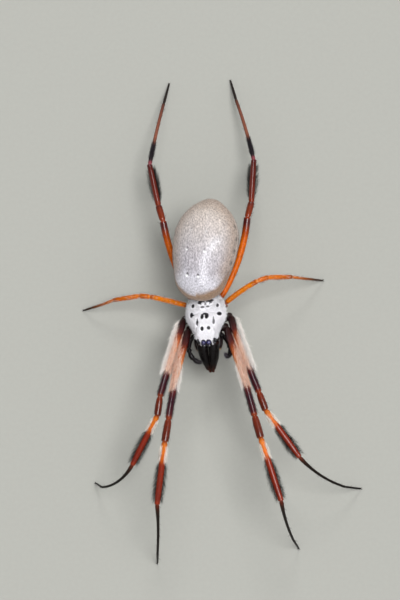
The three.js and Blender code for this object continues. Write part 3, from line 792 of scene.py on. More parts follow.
ABDOMEN_HALF = 8.1
ABDOMEN_WIDTHS = [
    [-1, 4.6], [-0.88, 4.8], [-0.78, 5.0], [-0.5, 4.8], [-0.2, 4.98], [0.1, 5.15], [0.35, 5.25],
    [0.55, 5.1], [0.7, 4.8], [0.82, 4.3], [0.91, 3.7], [1, 3.0]]
ABDOMEN_TOP = [[-1, 4.1], [-0.7, 4.6], [-0.2, 4.75], [0.3, 4.7], [0.7, 4.25], [0.9, 3.1], [1, 1.9]]
ABDOMEN_BOTTOM = [[-1, 3.4], [-0.7, 3.9], [0, 4.1], [0.5, 4.2], [0.8, 3.7], [1, 1.7]]
SILVER_DEPTH = 0.06  # how far the skin lies inside the tips of the silver down
MIDLINE = 0.64  # how far the roll of the abdomen carries its middle line to the left
MUSCLE_PITS = [[-4.48, 0.87, 1.0], [-0.5, 1.38, 0.8], [2.6, 1.2, 0.25]]  # along, across, depth; in pairs
# where the silver ends towards the sides, as the upward part of the outward direction
SILVER_EDGE = [[-1, 0.58], [-0.82, 0.52], [-0.6, 0.36], [-0.4, 0.22], [0, 0.15], [0.5, 0.12], [1, 0.05]]
# SHEEN_LINE is the path of a painted sheen: a paler streak laid on the silver where a highlight falls
SHEEN_LINE = [[-6.1, -1.3], [-4.6, -1.05], [-1.65, -1.05], [1.4, -2.4]]  # along, left: a paler streak


def pit_offsets(along, left):
    """For each pair of muscle pits, how far ahead of and beside a pit's middle places lie, and its depth."""
    return [(along - at, np.abs(left - MIDLINE) - apart, depth) for at, apart, depth in MUSCLE_PITS]


def lung_reach(along, left):
    """How far places lie from the middle of the nearer lung cover, as a share of its size."""
    return np.hypot((along + 4.4) / 1.1, (np.abs(left) - 1.7) / 0.9)


def plate_reach(along, left):
    """How far places lie from the middle of the plate between the lung covers, as a share of its size."""
    return np.hypot((along + 3.9) / 0.8, left / 0.9)


def abdomen_loft(rows=190, sides=230):
    """The egg-shaped abdomen, with paired muscle pits above and lung covers and a furrow below."""
    q = np.linspace(0.005, 0.995, rows)
    polar = np.pi * (q - 0.12 * np.sin(2 * np.pi * q))[:, None]
    turn = np.linspace(-np.pi, np.pi, sides, endpoint=False)[None]
    station = -np.cos(polar) + 0 * turn
    blunt = np.sin(polar) ** 0.72
    above, across = np.cos(turn) + 0 * polar, np.sin(turn) + 0 * polar
    wide = curve_at(ABDOMEN_WIDTHS, station) * blunt - SILVER_DEPTH
    height = np.where(above > 0, curve_at(ABDOMEN_TOP, station), curve_at(ABDOMEN_BOTTOM, station))
    tall = height * blunt - SILVER_DEPTH
    along = station * (ABDOMEN_HALF - SILVER_DEPTH)
    left = across * np.maximum(wide, 0.01)
    grid = np.stack([along, left, above * np.maximum(tall, 0.01)], axis=-1)
    loft = Loft(ABDOMEN.out(grid), station=station, above=above, along=along, left=left)
    up = loft.marks["up"] = loft.normals @ ABDOMEN.top
    amounts = np.zeros_like(station)
    for ahead, beside, depth in pit_offsets(along, left):
        amounts -= 0.12 * depth * hump(np.hypot(ahead, beside), 0.22) * (above > 0)
    below = ease(-0.2, -0.5, above)
    furrow = hump(along + 3.3 + 0.036 * left ** 2, 0.14)
    lungs = hump(lung_reach(along, left), 0.9)
    plate = hump(plate_reach(along, left), 0.75)
    amounts += below * (0.12 * lungs + 0.16 * plate - 0.16 * furrow)
    pleats = np.sin(26 * up + 2.5 * np.sin(station * 5)) * bell(-0.5, 0.25, up, 0.15)
    amounts += 0.03 * pleats * bell(-0.8, 0.85, station, 0.1) - 0.1 * side_spots(loft.marks)
    return loft.push(amounts)


def side_spots(m):
    """A row of long dents in the fold at each side."""
    middle = 0.27 + 0.04 * np.sin(1.7 * m["along"])
    dashes = ease(0.1, 0.75, np.cos(2 * np.pi * (m["along"] + 0.2 * np.sign(m["left"])) / 1.9))
    return hump(m["up"] - middle, 0.085) * dashes * bell(-3.2, 5.2, m["along"], 0.8)


def flecks(m):
    """Small dark flecks strewn over the silver, from 0 to 1."""
    along, left = m["along"], m["left"]
    lengthwise = np.sin(15.9 * along + 2.6 * np.sin(3.7 * left) + 1.3 * np.sin(1.1 * along))
    crosswise = np.sin(14.3 * left + 2.8 * np.sin(2.9 * along) + 1.7 * np.sin(1.3 * left))
    return ease(0.05, 0.7, lengthwise * crosswise)


def abdomen_tint(m):
    """Silver above and whiter in front, brown at the turned-under edge, dark with cream flecks below; with a
    painted sheen streak on the silver and a painted glint by each pit.
    """
    wavy = m["station"] + 0.03 * np.sin(2.3 * m["left"]) + 0.02 * np.sin(5.1 * m["left"] + 1.0)
    top = colours_at([[-1, "#c9c6ce"], [-0.75, "#cfcdd5"], [-0.58, "#cac7cf"], [-0.46, "#b8b3ba"],
                      [-0.2, "#b9b3b8"], [0.1, "#beb7b7"], [0.4, "#c3b9b4"], [0.75, "#c5b9b0"],
                      [1, "#b3a59a"]], wavy)
    # painted sheen: a paler streak along SHEEN_LINE stands in for a highlight on the silver
    painted_sheen = hump(m["left"] - curve_at(SHEEN_LINE, m["along"]), 0.65) * bell(-6.0, 1.6, m["along"], 0.8)
    top = blend(top, tone("#efedf3"), 0.45 * painted_sheen)
    beige = 0.75 * (1 - ease(0.45, 0.9, m["up"])) * ease(-0.8, -0.35, m["station"])
    top = blend(top, tone("#a58f80"), beige)
    top = blend(1.03 * top, 0.45 * top, flecks(m) * (0.62 - 0.42 * ease(-0.4, -0.75, m["station"])))
    edge = colours_at([[-1, "#a08268"], [-0.5, "#8a6f5e"], [0.3, "#7c6a60"], [1, "#75665d"]], m["station"])
    belly = colours_at([[-1, "#54433a"], [-0.4, "#5f4a3a"], [0.6, "#4e3f37"], [1, "#3e312a"]], m["station"])
    left_front = (m["left"] < 0) * bell(-1.2, -0.4, m["station"], 0.2)
    silver = curve_at(SILVER_EDGE, m["station"]) + 0.12 * left_front
    tint = blend(top, edge, 1 - ease(silver - 0.14, silver + 0.09, m["up"]))
    tint = blend(tint, tone("#c9bdb4"), 0.7 * hump(m["up"] - 0.12, 0.05) * bell(-0.4, 0.8, m["station"], 0.2))
    tint = blend(tint, tone("#4f453f"), 0.75 * side_spots(m))
    tint = blend(tint, belly, 1 - ease(-0.35, 0.0, m["up"]))
    for ahead, beside, depth in pit_offsets(m["along"], m["left"]):
        reach = np.hypot(ahead, beside)
        tint = blend(tint, tone("#322b30"), depth * (1 - ease(0.12, 0.22, reach)) * (m["above"] > 0))
        # painted highlight: a small white glint is painted just ahead of each pit
        painted_glint_reach = np.hypot(ahead + 0.27, beside - 0.06)
        tint = blend(tint, tone("#ffffff"), depth * (1 - ease(0.13, 0.22, painted_glint_reach)) * (m["above"] > 0))
    below = m["above"] < -0.2
    bars = bell(0.9, 1.5, np.abs(m["left"]), 0.2) * bell(-2.6, 5.4, m["along"], 0.4)
    tint = blend(tint, tone("#b09a6a"), 0.55 * bars * below)
    lungs = 1 - ease(0.7, 1.0, lung_reach(m["along"], m["left"]))
    tint = blend(tint, tone("#8c5a2c"), 0.8 * lungs * below)
    plate = 1 - ease(0.6, 0.9, plate_reach(m["along"], m["left"]))
    return blend(tint, tone("#24130c"), 0.9 * plate * below)


def build_abdomen():
    loft = abdomen_loft()
    skin("abdomen_skin", [loft], ABDOMEN_SKIN, [abdomen_tint(loft.marks)], "abdomen", ["abdomen"])
    rng = np.random.default_rng(23)
    spots = loft.scatter(17000, 1.0 - 0.6 * (loft.marks["above"] < -0.2), rng)
    tint = blend(abdomen_tint(spots), tone("#f2eff4"), 0.15 * ease(0.1, 0.6, spots["up"]))
    batches = [(spots, {"rise": 11, "length": 0.24, "tint": tint, "sway": 0.3})]
    coat("abdomen_down", batches, PALE_HAIR, "abdomen", {"slender": 0.045, "bend": 0.2, "rings": 2})


# ---------------------------------------------------------------- underside, mouth and jaws

STERNUM = {"back": -2.4, "front": 2.3, "top": -0.55, "bottom": -2.15}
STERNUM_WIDTHS = [[-2.4, 0.5], [-1.2, 1.35], [0.2, 1.65], [1.4, 1.5], [2.3, 1.05]]
LIP = [[2.55, 0, -1.75], [0.75, 0.5, 0.42]]
LOBE = [[3.35, 1.55, -1.35], [1.95, 0.8, 0.66]]
JAW = {"base": [3.75, 0.88, -0.3], "length": 5.0, "down": 33, "inward": 7, "radius": 1.0, "bulge": 0.16,
       "gap": 0.015}
JAW_SHAPE = [[0, 0.8], [0.15, 1], [0.35, 1.04], [0.6, 0.95], [0.8, 0.68], [0.93, 0.5], [1, 0.42]]


def build_sternum():
    back, front, upper, lower = (STERNUM[k] for k in ("back", "front", "top", "bottom"))
    a = -np.cos(np.linspace(0.05, np.pi - 0.05, 60))[:, None]
    turn = np.linspace(-np.pi, np.pi, 72, endpoint=False)[None]
    station = (front + back) / 2 + (front - back) / 2 * a + 0 * turn
    share = np.sin(turn)
    rim = np.sqrt(np.minimum(1, a ** 2 + (1 - a ** 2) * share ** 2))
    dome = np.maximum(0, 1 - rim ** 3) ** 0.6
    left = curve_at(STERNUM_WIDTHS, station) * share * 0.98
    top = (upper + lower) / 2 + np.sign(np.cos(turn)) * (upper - lower) / 2 * dome * 0.97
    grid = BODY.out(np.stack([station, left, top], axis=-1))
    plate = Loft(grid, under=-np.cos(turn))
    knobs = sum(hump(np.hypot(station - at, np.abs(left) - 1.25), 0.25) for at in (1.4, 0.1, -1.1))
    plate.push(0.12 * (knobs + hump(np.hypot(station + 1.9, left), 0.3)) * (np.cos(turn) < 0))
    lip = ball_loft(BODY, LIP[0], np.array(LIP[1]) * 0.98)
    lobes = [ball_loft(BODY, [LOBE[0][0], LOBE[0][1] * side, LOBE[0][2]], np.array(LOBE[1]) * 0.98, 30, 32)
             for side in SIDES.values()]
    pale = [blend(np.broadcast_to(tone("#1c1214"), lobe.rings.shape), tone("#b99a78"),
                  0.8 * ease(0.8, 0.98, lobe.marks["forward"])) for lobe in lobes]
    tints = [tone("#1e1315"), tone("#241618")] + pale
    skin("sternum_plate", [plate, lip] + lobes, BLACK_CHITIN, tints, "black_cuticle", ["sternum"])
    rng = np.random.default_rng(31)
    spots = plate.scatter(500, plate.marks["under"] > 0, rng)
    batches = [(spots, {"rise": 45, "length": 0.4, "tint": tone("#a89c8c"), "rise_spread": 14})]
    for lobe in lobes:
        edge = lobe.scatter(160, (lobe.marks["forward"] > 0.3) * (lobe.marks["top"] < 0.5), rng)
        batches.append((edge, {"rise": 40, "length": 0.4, "tint": tone("#6d5a4a"), "rise_spread": 14}))
    coat("sternum_hair", batches, PALE_HAIR, "white_hair", {"slender": 0.022, "bend": 0.25})
    side_wall = ball_loft(BODY, [-0.2, 0, -0.55], [3.3, 2.35, 0.62], 30, 40)
    skin("side_wall_skin", [side_wall], SOFT_SKIN, [tone("#4a3a34")], "waist")


def jaw_line(side, share):
    """Points on the middle line of a jaw, in the front body's frame."""
    down, inward = math.radians(JAW["down"]), math.radians(JAW["inward"])
    run = np.array([math.cos(down) * math.cos(inward), -math.sin(inward) * side, -math.sin(down)])
    share = np.asarray(share, float)[..., None]
    start = on_side(JAW["base"], side)
    return start + run * JAW["length"] * share + np.array([0, 0, JAW["bulge"]]) * np.sin(np.pi * share)


def jaw_boss(m):
    """The swelling at the outer side of a jaw's base, from 0 to 1."""
    return hump(np.hypot((m["share"] - 0.07) / 0.05, m["outer"] - 1.0), 0.9)


def jaw_loft(side):
    """A jaw: swollen at the front of its base, flat where it meets the other jaw, narrow at the fang."""
    share = np.linspace(0, 1, 64)
    local = jaw_line(side, share)
    line = BODY.out(local)
    left, top = sideways(unit(np.gradient(line, axis=0)), BODY.top)
    turn = np.linspace(-np.pi, np.pi, 48, endpoint=False)
    above, outer = np.cos(turn)[None], np.sin(turn)[None] * side
    rounding = (0.35 + 0.65 * ease(0, 0.04, 1 - share)) * (0.8 + 0.2 * ease(0, 0.06, share))
    wide = curve_at(JAW_SHAPE, share) * JAW["radius"] * rounding
    room = np.abs(local[:, 1]) - JAW["gap"]  # up to the middle plane, where the other jaw lies
    half = np.where(outer < 0, np.minimum(0.93 * wide, room)[:, None], wide[:, None])
    ring = (np.sin(turn) * half)[..., None] * left[:, None]
    ring = ring + (above * wide[:, None])[..., None] * top[:, None]
    loft = Loft(line[:, None] + 0.98 * ring, share=share[:, None], above=above, outer=outer)
    m = loft.marks
    knee = 0.048 * hump(m["share"] - 0.22, 0.16) * ease(0.2, 0.9, m["above"])
    groove = hump(m["outer"] + 0.15, 0.3) * ease(0.72, 0.92, m["share"]) * (m["above"] < 0)
    return loft.push(knee + 0.14 * jaw_boss(m) - 0.16 * groove)


TEETH = [[0.16, 0.8], [0.16, 0.87], [0.16, 0.94], [-0.25, 0.83], [-0.25, 0.9]]  # inward, share of the jaw
TOOTH_RADII = [[0, 0.1], [0.6, 0.065], [1, 0.012]]


def build_jaws():
    rng = np.random.default_rng(41)
    batches = []
    for side_name, side in SIDES.items():
        loft = jaw_loft(side)
        m = loft.marks
        tint = colours_at([[0, "#0d0a0a"], [0.75, "#0b0808"], [0.93, "#25100a"], [1, "#4c1e0e"]], m["share"])
        tint = blend(tint, tone("#3a1a0e"), 0.3 * jaw_boss(m))
        teeth = []
        for inward, place in TEETH:
            root = jaw_line(side, place) + on_side([-0.12, -inward, -0.48], side)
            tip = root + np.array([0.08, 0, -0.28])
            teeth.append(rod_loft(BODY.out([root, (root + tip) / 2, tip]), TOOTH_RADII, 8, 10))
        tints = [tint] + [tone("#2a120a")] * len(teeth)
        jaw = f"jaw_{side_name}"
        skin(f"{jaw}_shell", [loft] + teeth, BLACK_CHITIN, tints, "black_cuticle", [jaw])
        inner = (m["outer"] < 0.1) * (m["above"] < 0.6) * ease(0.45, 0.8, m["share"])
        bristles = loft.scatter(260, inner, rng)
        batches.append((bristles, {"rise": 42, "length": 0.5, "tint": tone("#2b201a"), "rise_spread": 14}))
        short = loft.scatter(420, 0.3 + 0.7 * (m["above"] > 0), rng)
        batches.append((short, {"rise": 26, "length": 0.26, "tint": tone("#1c1816"), "rise_spread": 10}))
        build_fang(side_name, side)
    coat("jaw_bristles", batches, DARK_HAIR, "black_hair", {"slender": 0.022, "bend": 0.3})


FANG = {"length": 2.0, "radius": 0.26}
# the fang folds back under the jaw: how far ahead and below, as parts of its length
FANG_BEND = [[0, 0], [0.26, 0.1], [0.24, 0.32], [-0.15, 0.44], [-0.6, 0.49]]


def build_fang(side_name, side):
    """The folded fang: a curved needle that starts dark and turns red towards its point."""
    line = jaw_line(side, [0, 0.33, 0.67, 1])
    out = unit(line[3] - line[2])
    under = unit(np.cross([0, 1, 0], out))
    start = line[3] - 0.15 * out + 0.2 * under
    bend = [start + FANG["length"] * (ahead * out + below * under) for ahead, below in FANG_BEND]
    radii = [[0, FANG["radius"]], [0.3, 0.85 * FANG["radius"]], [0.7, 0.5 * FANG["radius"]], [1, 0.02]]
    loft = rod_loft(BODY.out(bend), radii, 34, 20)
    tint = colours_at([[0, "#2a0e08"], [0.5, "#5a1a0c"], [1, "#8c3010"]], loft.marks["share"])
    skin(f"fang_{side_name}_shell", [loft], BLACK_CHITIN, [tint], "fang", [f"fang_{side_name}"])


# ---------------------------------------------------------------- jointed limbs


def joint_shape(from_start, from_end):
    """The swell and pinch of a limb piece: soft skin at its base, a raised rim at its far end."""
    base = 0.76 + 0.24 * ease(0.02, 0.42, from_start)
    rim = 0.78 + 0.27 * ease(0.0, 0.09, from_end) - 0.05 * ease(0.12, 0.6, from_end)
    return base * rim


def piece_steps(length, count, first):
    """Shares of a limb piece at which rings stand: close together near both of its joints."""
    near = np.array([0.0, 0.05, 0.1, 0.18, 0.28, 0.4])[0 if first else 1:] / length
    far = 1 - np.array([0.45, 0.3, 0.2, 0.13, 0.1, 0.07, 0.04, 0.0]) / length
    inside = np.linspace(0.5 / length, 1 - 0.55 / length, count)
    return np.concatenate([near, inside, far])


NEAR = 0.22  # how far ahead and behind a limb's direction is taken, which rounds its bends


def limb_loft(lines, tables, counts, sides=22):
    """A jointed limb from the middle line and radii of each piece; zone is the piece number and share."""
    lengths = [np.linalg.norm(np.diff(line, axis=0), axis=1).sum() for line in lines]
    whole = np.concatenate([lines[0]] + [line[1:] for line in lines[1:]])
    walked = np.concatenate([[0], np.cumsum(np.linalg.norm(np.diff(whole, axis=0), axis=1))])

    def at(distance):
        return np.stack([np.interp(distance, walked, whole[:, c]) for c in range(3)], axis=1)

    zones, distances, radii = [], [], []
    begun = 0.0
    for n, (length, table, count) in enumerate(zip(lengths, tables, counts)):
        share = piece_steps(length, count, n == 0)
        zones.append(n + np.minimum(share, 0.9999))
        distances.append(begun + share * length)
        radii.append(curve_at(table, share) * joint_shape(share * length, (1 - share) * length))
        begun += length
    distance, radius, zone = (np.concatenate(v) for v in (distances, radii, zones))
    radius[0] *= 0.5
    line = at(distance)
    forward = unit(at(np.minimum(distance + NEAR, walked[-1])) - at(np.maximum(distance - NEAR, 0)))
    left, top = sideways(forward)
    turn = np.linspace(-np.pi, np.pi, sides, endpoint=False)
    above, across = np.cos(turn)[None], np.sin(turn)[None]
    ring = across[..., None] * left[:, None] + above[..., None] * top[:, None]
    grid = line[:, None] + radius[:, None, None] * ring
    return Loft(grid, zone=zone[:, None], above=above, across=across), forward[-1], line[-1]


# ---------------------------------------------------------------- legs

COXAE = [
    ([1.2, 1.1, -1.15], [1.9, 3.05, -0.55]),
    ([0.2, 1.25, -1.2], [0.15, 3.75, -0.65]),
    ([-0.85, 1.15, -1.2], [-2.15, 3.05, -0.75]),
    ([-1.7, 0.8, -1.15], [-3.0, 2.2, -0.9]),
]
LEG_LENGTHS = [  # femur, patella, tibia, metatarsus, tarsus
    [16.85, 3.6, 10.1, 11.65, 4.15],
    [14.2, 3.0, 8.9, 10.35, 4.3],
    [6.5, 1.9, 4.7, 4.9, 2.7],
    [13.45, 2.65, 7.7, 11.6, 4.7],
]
# headings (0 is +X, 90 is +Y) and pitches above the level, first to last of a piece
POSE = {
    "right": [
        [[-99, -94.5, 35, 21], [-98.5, -98.5, 5.5, 5.5], [-101, -101, -21, -21],
         [-94.5, -110.5, -44, -59.5], -118.5],
        [[-102, -102, 30, 18], [-98, -98, 0.5, 0.5], [-121, -121, -17.5, -17.5],
         [-128, -188, -38.5, -54.5], -210],
        [[162.5, 165, -6.5, -18.5], [171, 171, -15.5, -15.5], [184.5, 184.5, -16.5, -16.5],
         [194, 186.5, -32.5, -35.5], 184.5],
        [[120.5, 99.5, 1.5, 7], [107, 107, -5.5, -5.5], [104.5, 104.5, -17, -17],
         [83.5, 80, -17.5, -22.5], 81.5],
    ],
    "left": [
        [[-67, -73.5, 29.5, 15.5], [-74.5, -74.5, 1, 1], [-72.5, -72.5, -3.5, -3.5],
         [-89, -76, -53, -71], -73],
        [[-69.5, -67, 24.5, 12], [-70, -70, -3, -3], [-55, -55, -11, -11],
         [-50, -14.5, -36.5, -49.5], 0],
        [[33, 25, 28.5, 14.5], [22, 22, -21.5, -21.5], [9, 9, -44.5, -44.5],
         [-1, 6, -47.5, -56], 8.5],
        [[58, 83.5, -1, 7], [77.5, 77.5, -14.5, -14.5], [89.5, 89.5, -18.5, -18.5],
         [103.5, 111, -13, -19.5], 107.5],
    ],
}
COXA_RADII = [[0, 0.55], [0.3, 0.74], [0.62, 0.76], [0.76, 0.64], [0.86, 0.68], [1, 0.55]]
LEG_RADII = [  # of the bare skin
    [[[0, 0.5], [0.06, 0.62], [0.2, 0.62], [0.35, 0.58], [0.6, 0.54], [0.78, 0.5], [0.94, 0.52], [1, 0.48]],
     [[0, 0.46], [0.3, 0.56], [0.8, 0.59], [1, 0.52]],
     [[0, 0.46], [0.1, 0.47], [0.5, 0.5], [0.85, 0.48], [1, 0.4]],
     [[0, 0.33], [0.06, 0.33], [0.3, 0.24], [1, 0.19]],
     [[0, 0.19], [0.5, 0.17], [1, 0.13]]],
    [[[0, 0.5], [0.06, 0.62], [0.2, 0.62], [0.35, 0.57], [0.6, 0.54], [0.78, 0.5], [0.94, 0.5], [1, 0.46]],
     [[0, 0.44], [0.3, 0.53], [0.8, 0.55], [1, 0.48]],
     [[0, 0.44], [0.1, 0.46], [0.5, 0.49], [0.85, 0.46], [1, 0.38]],
     [[0, 0.32], [0.06, 0.32], [0.3, 0.23], [1, 0.18]],
     [[0, 0.18], [0.5, 0.16], [1, 0.13]]],
    [[[0, 0.36], [0.1, 0.41], [0.5, 0.41], [0.9, 0.39], [1, 0.36]],
     [[0, 0.36], [0.3, 0.4], [0.8, 0.4], [1, 0.36]],
     [[0, 0.34], [0.15, 0.38], [0.6, 0.37], [0.9, 0.33], [1, 0.3]],
     [[0, 0.25], [0.1, 0.25], [0.6, 0.2], [1, 0.17]],
     [[0, 0.17], [0.5, 0.15], [1, 0.12]]],
    [[[0, 0.42], [0.08, 0.48], [0.5, 0.52], [0.8, 0.53], [0.93, 0.56], [1, 0.5]],
     [[0, 0.45], [0.3, 0.5], [0.8, 0.52], [1, 0.48]],
     [[0, 0.45], [0.12, 0.47], [0.5, 0.49], [0.8, 0.48], [1, 0.42]],
     [[0, 0.33], [0.08, 0.31], [0.3, 0.28], [1, 0.24]],
     [[0, 0.24], [0.5, 0.2], [1, 0.13]]],
]
RINGS = [8, 46, 16, 34, 34, 20]  # between the joints of each piece, coxa to tarsus
TIP_HEIGHT = 0.22  # how high the end of the tarsus stays, for its claws to reach the floor
CLAW_POINT = 0.014  # how high the middle line of a claw ends

# colours along a leg: the number of the piece (0 coxa, 1 femur .. 5 tarsus) plus the share of it
FRONT_COLOURS = [
    [0, "#120a0a"], [0.9, "#180c0b"], [1.0, "#1d0b0a"], [1.12, "#2a0c0e"], [1.2, "#4c1612"],
    [1.27, "#8e4220"], [1.35, "#b8683a"], [1.46, "#d89668"], [1.6, "#dca27c"], [1.66, "#8a3a28"],
    [1.71, "#561a18"],
    [1.82, "#2a0616"], [1.97, "#400c14"],
    [2.0, "#7c3010"], [2.12, "#682006"], [2.5, "#5a1a04"], [2.95, "#4e1403"],
    [3.0, "#8a3a10"], [3.06, "#c86c1e"], [3.27, "#c05a12"], [3.36, "#7c2006"], [3.9, "#6c1804"],
    [3.98, "#84280a"],
    [4.0, "#5e2412"], [4.08, "#2c150c"], [4.2, "#170f0a"], [4.99, "#120c08"],
    [5.0, "#120c08"], [6, "#0e0a08"]]
THIRD_COLOURS = [
    [0, "#1c0e0b"], [0.9, "#2c120a"], [1.0, "#78300a"], [1.1, "#c66808"], [1.85, "#cc700a"],
    [1.97, "#a04408"],
    [2.0, "#cc7c34"], [2.2, "#c0600c"], [2.95, "#ac520a"],
    [3.0, "#c4660e"], [3.8, "#b0560e"], [3.97, "#783408"],
    [4.0, "#b4601c"], [4.5, "#8c4818"], [5.0, "#3c200e"], [6, "#1c120c"]]
FOURTH_COLOURS = [
    [0, "#1c0e0b"], [0.9, "#2c120a"], [1.0, "#782c08"], [1.1, "#cf6008"], [1.72, "#c05806"],
    [1.84, "#8c3406"], [1.93, "#481010"], [1.98, "#4c1410"],
    [2.0, "#86321a"], [2.2, "#742808"], [2.7, "#6c2208"], [2.97, "#4c1408"],
    [3.0, "#782808"], [3.12, "#641c0a"], [3.6, "#561408"], [3.9, "#4c1008"], [3.97, "#420c0e"],
    [4.0, "#8a424a"], [4.045, "#70363c"], [4.07, "#281e22"], [4.3, "#221c20"], [4.36, "#6c3e30"],
    [4.45, "#7e4a38"], [4.8, "#6e3e30"], [4.97, "#563026"], [5.0, "#241b18"], [6, "#181311"]]
LEG_COLOURS = [FRONT_COLOURS, FRONT_COLOURS, THIRD_COLOURS, FOURTH_COLOURS]


def turning_line(start, length, turns, count=96):
    """A line of points whose heading and pitch change evenly along it."""
    share = (np.arange(count) + 0.5) / count
    heading = turns[0] + (turns[1] - turns[0]) * share
    pitch = turns[2] + (turns[3] - turns[2]) * share
    steps = direction(heading, pitch) * length / count
    return np.concatenate([[start], start + np.cumsum(steps, axis=0)])


def leg_lines(side_name, index):
    """The middle lines of a leg's six pieces, from the coxa to the tip of the tarsus."""
    side = SIDES[side_name]
    ends = [BODY.out(on_side(p, side)) for p in COXAE[index]]
    lines = [np.linspace(*ends, 20)]
    *turns, last_heading = POSE[side_name][index]
    lengths = LEG_LENGTHS[index]
    for length, turn in zip(lengths, turns):
        lines.append(turning_line(lines[-1][-1], length, turn))
    start = lines[-1][-1]
    pitch = -math.degrees(math.asin(start[2] / lengths[4]))
    stop = lengths[4] * (1 - TIP_HEIGHT / start[2])
    lines.append(turning_line(start, stop, [last_heading, last_heading, pitch, pitch], 40))
    return lines


def side_of(m, side):
    """From 0 on top and below to 1 at a leg's outer (or, with side turned, inner) side."""
    return ease(0.1, 0.9, m["across"] * side)


FEMUR_HAIRS = 8000


def front_leg_batches(loft, outer, fringe, rng):
    """Cream femur hair fringed with white on one side, white cuffs on the tibia, the black brush beyond."""
    m = loft.marks
    flank = ease(0.35, 0.85, np.abs(m["across"]))
    around = np.arctan2(m["across"], m["above"])
    start = 1.27 - 0.22 * side_of(m, outer) + 0.16 * side_of(m, -outer)
    on_inner_side = fringe != outer  # there the fringe is shorter and comes in more slowly
    full = start + (0.2 if on_inner_side else 0.09)
    femur = ease(start - 0.06, full, m["zone"]) * (1 - ease(1.64, 1.7, m["zone"]))
    rows = (0.6 + 0.4 * np.cos(5 * around)) * (0.45 + 0.55 * flank)
    pale = loft.scatter(FEMUR_HAIRS, femur * rows, rng)
    fringed, plain = side_of(pale, fringe), side_of(pale, -fringe)
    peach = np.broadcast_to(tone("#fcdfcc"), (FEMUR_HAIRS, 3))
    warm = blend(peach, tone("#dc9068"), rng.random(FEMUR_HAIRS) ** 2)
    tint = blend(warm, tone("#fffaf5"), fringed)
    length = 0.75 + (-0.1 if on_inner_side else 0.22) * fringed
    whites = [(pale, {"rise": 11 + 23 * fringed + 5 * plain, "length": length, "length_spread": 0.3,
                      "tint": tint, "sway": 0.1})]
    cuff = bell(3.06, 3.27, m["zone"], 0.03) * ease(0.4, 0.85, np.abs(m["across"]))
    tuft = loft.scatter(1050, cuff, rng)
    whites.append((tuft, {"rise": 27, "length": 0.7, "tint": tone("#fff6ec"), "sway": 0.12}))
    sides_only = ease(0.75, 0.97, np.abs(m["across"]) + 0.4 * (m["above"] < -0.4))
    black = loft.scatter(1350, bell(3.33, 3.93, m["zone"], 0.03) * sides_only, rng)
    length = 0.55 + 0.36 * hump(black["zone"] - 3.62, 0.34)
    blacks = [(black, {"rise": 46, "length": length, "length_spread": 0.35, "sway": 0.2,
                       "tint": tone("#1c1815")})]
    beside = ease(0.6, 0.95, np.abs(m["across"]))
    stiff = loft.scatter(480, bell(1.68, 1.95, m["zone"], 0.02) * beside, rng)
    blacks.append((stiff, {"rise": 34, "length": 0.55, "tint": tone("#1c1418"), "sway": 0.25}))
    return whites, blacks


def fourth_leg_batches(loft, inner, rng):
    """A black brush on the tibia, fullest on its inner side, and a close dark sleeve beyond it."""
    m = loft.marks
    flank = ease(0.7, 0.97, np.abs(m["across"])) * (m["above"] < 0.3)
    fuller = 0.35 + 0.65 * (m["across"] * inner > 0)
    black = loft.scatter(1400, bell(3.12, 3.86, m["zone"], 0.04) * flank * fuller, rng)
    length = 0.45 + 0.4 * hump(black["zone"] - 3.5, 0.38)
    blacks = [(black, {"rise": 44, "length": length, "length_spread": 0.35, "sway": 0.22,
                       "tint": tone("#1a1613")})]
    sleeve = loft.scatter(1300, bell(4.07, 4.32, m["zone"], 0.03), rng)
    blacks.append((sleeve, {"rise": 30, "length": 0.5, "tint": tone("#262026"), "sway": 0.2}))
    return blacks


FINE_HAIRS = [1900, 1800, 1500, 1700]  # on each leg, first to fourth


def short_leg_batches(loft, index, rng):
    """The fine short hair all over a leg, and the longer sparse bristles among it."""
    m = loft.marks
    clear_of_floor = 1 - ease(5.78, 5.88, m["zone"])
    cover = ease(0.5, 1.1, m["zone"]) * clear_of_floor * (0.35 + 0.65 * (m["above"] < 0.5))
    fine = loft.scatter(FINE_HAIRS[index], cover, rng)
    skin_tint = colours_at(LEG_COLOURS[index], fine["zone"])
    far = ease(3.9, 4.3, fine["zone"])
    if index == 2:
        tint = blend(skin_tint, tone("#f2d6cc"), 0.85 * (1 - ease(4.2, 4.8, fine["zone"])))
        length, rise = 0.3, 34
    else:
        tint = blend(0.6 * skin_tint, tone("#110d0b"), far)
        length, rise = 0.26 - 0.07 * far, 26 - 6 * far
    batches = [(fine, {"rise": rise, "length": length, "tint": tint, "sway": 0.3})]
    sparse = loft.scatter(110 if index != 2 else 60, bell(1.1, 5.6, m["zone"], 0.1) * (m["above"] < 0.8), rng)
    batches.append((sparse, {"rise": 48, "length": 0.62, "tint": tone("#1a1210"), "width": 1.1, "sway": 0.2}))
    return batches


CLAWS = [[-0.055, 0.34], [0.055, 0.34], [0.0, 0.2]]  # to the side, reach
CLAW_RADII = [[0, 0.05], [0.5, 0.034], [1, 0.012]]


def build_claws(name, tip, forward):
    """Two hooked claws and a small middle one, reaching down to the floor."""
    level = unit(forward * [1, 1, 0])
    across = np.cross(Z, level)
    hooks = []
    for turn, reach in CLAWS:
        root = tip - 0.12 * forward + turn * across
        knee = root + level * reach * 0.55 + across * turn * 0.8 + Z * 0.05
        end = (root + level * reach + across * turn * 1.5) * [1, 1, 0] + Z * CLAW_POINT
        hooks.append(rod_loft([root, knee, end], CLAW_RADII, 12, 8))
    skin(f"{name}_claws", hooks, BLACK_CHITIN, [tone("#1a1210")] * len(CLAWS), "foot")


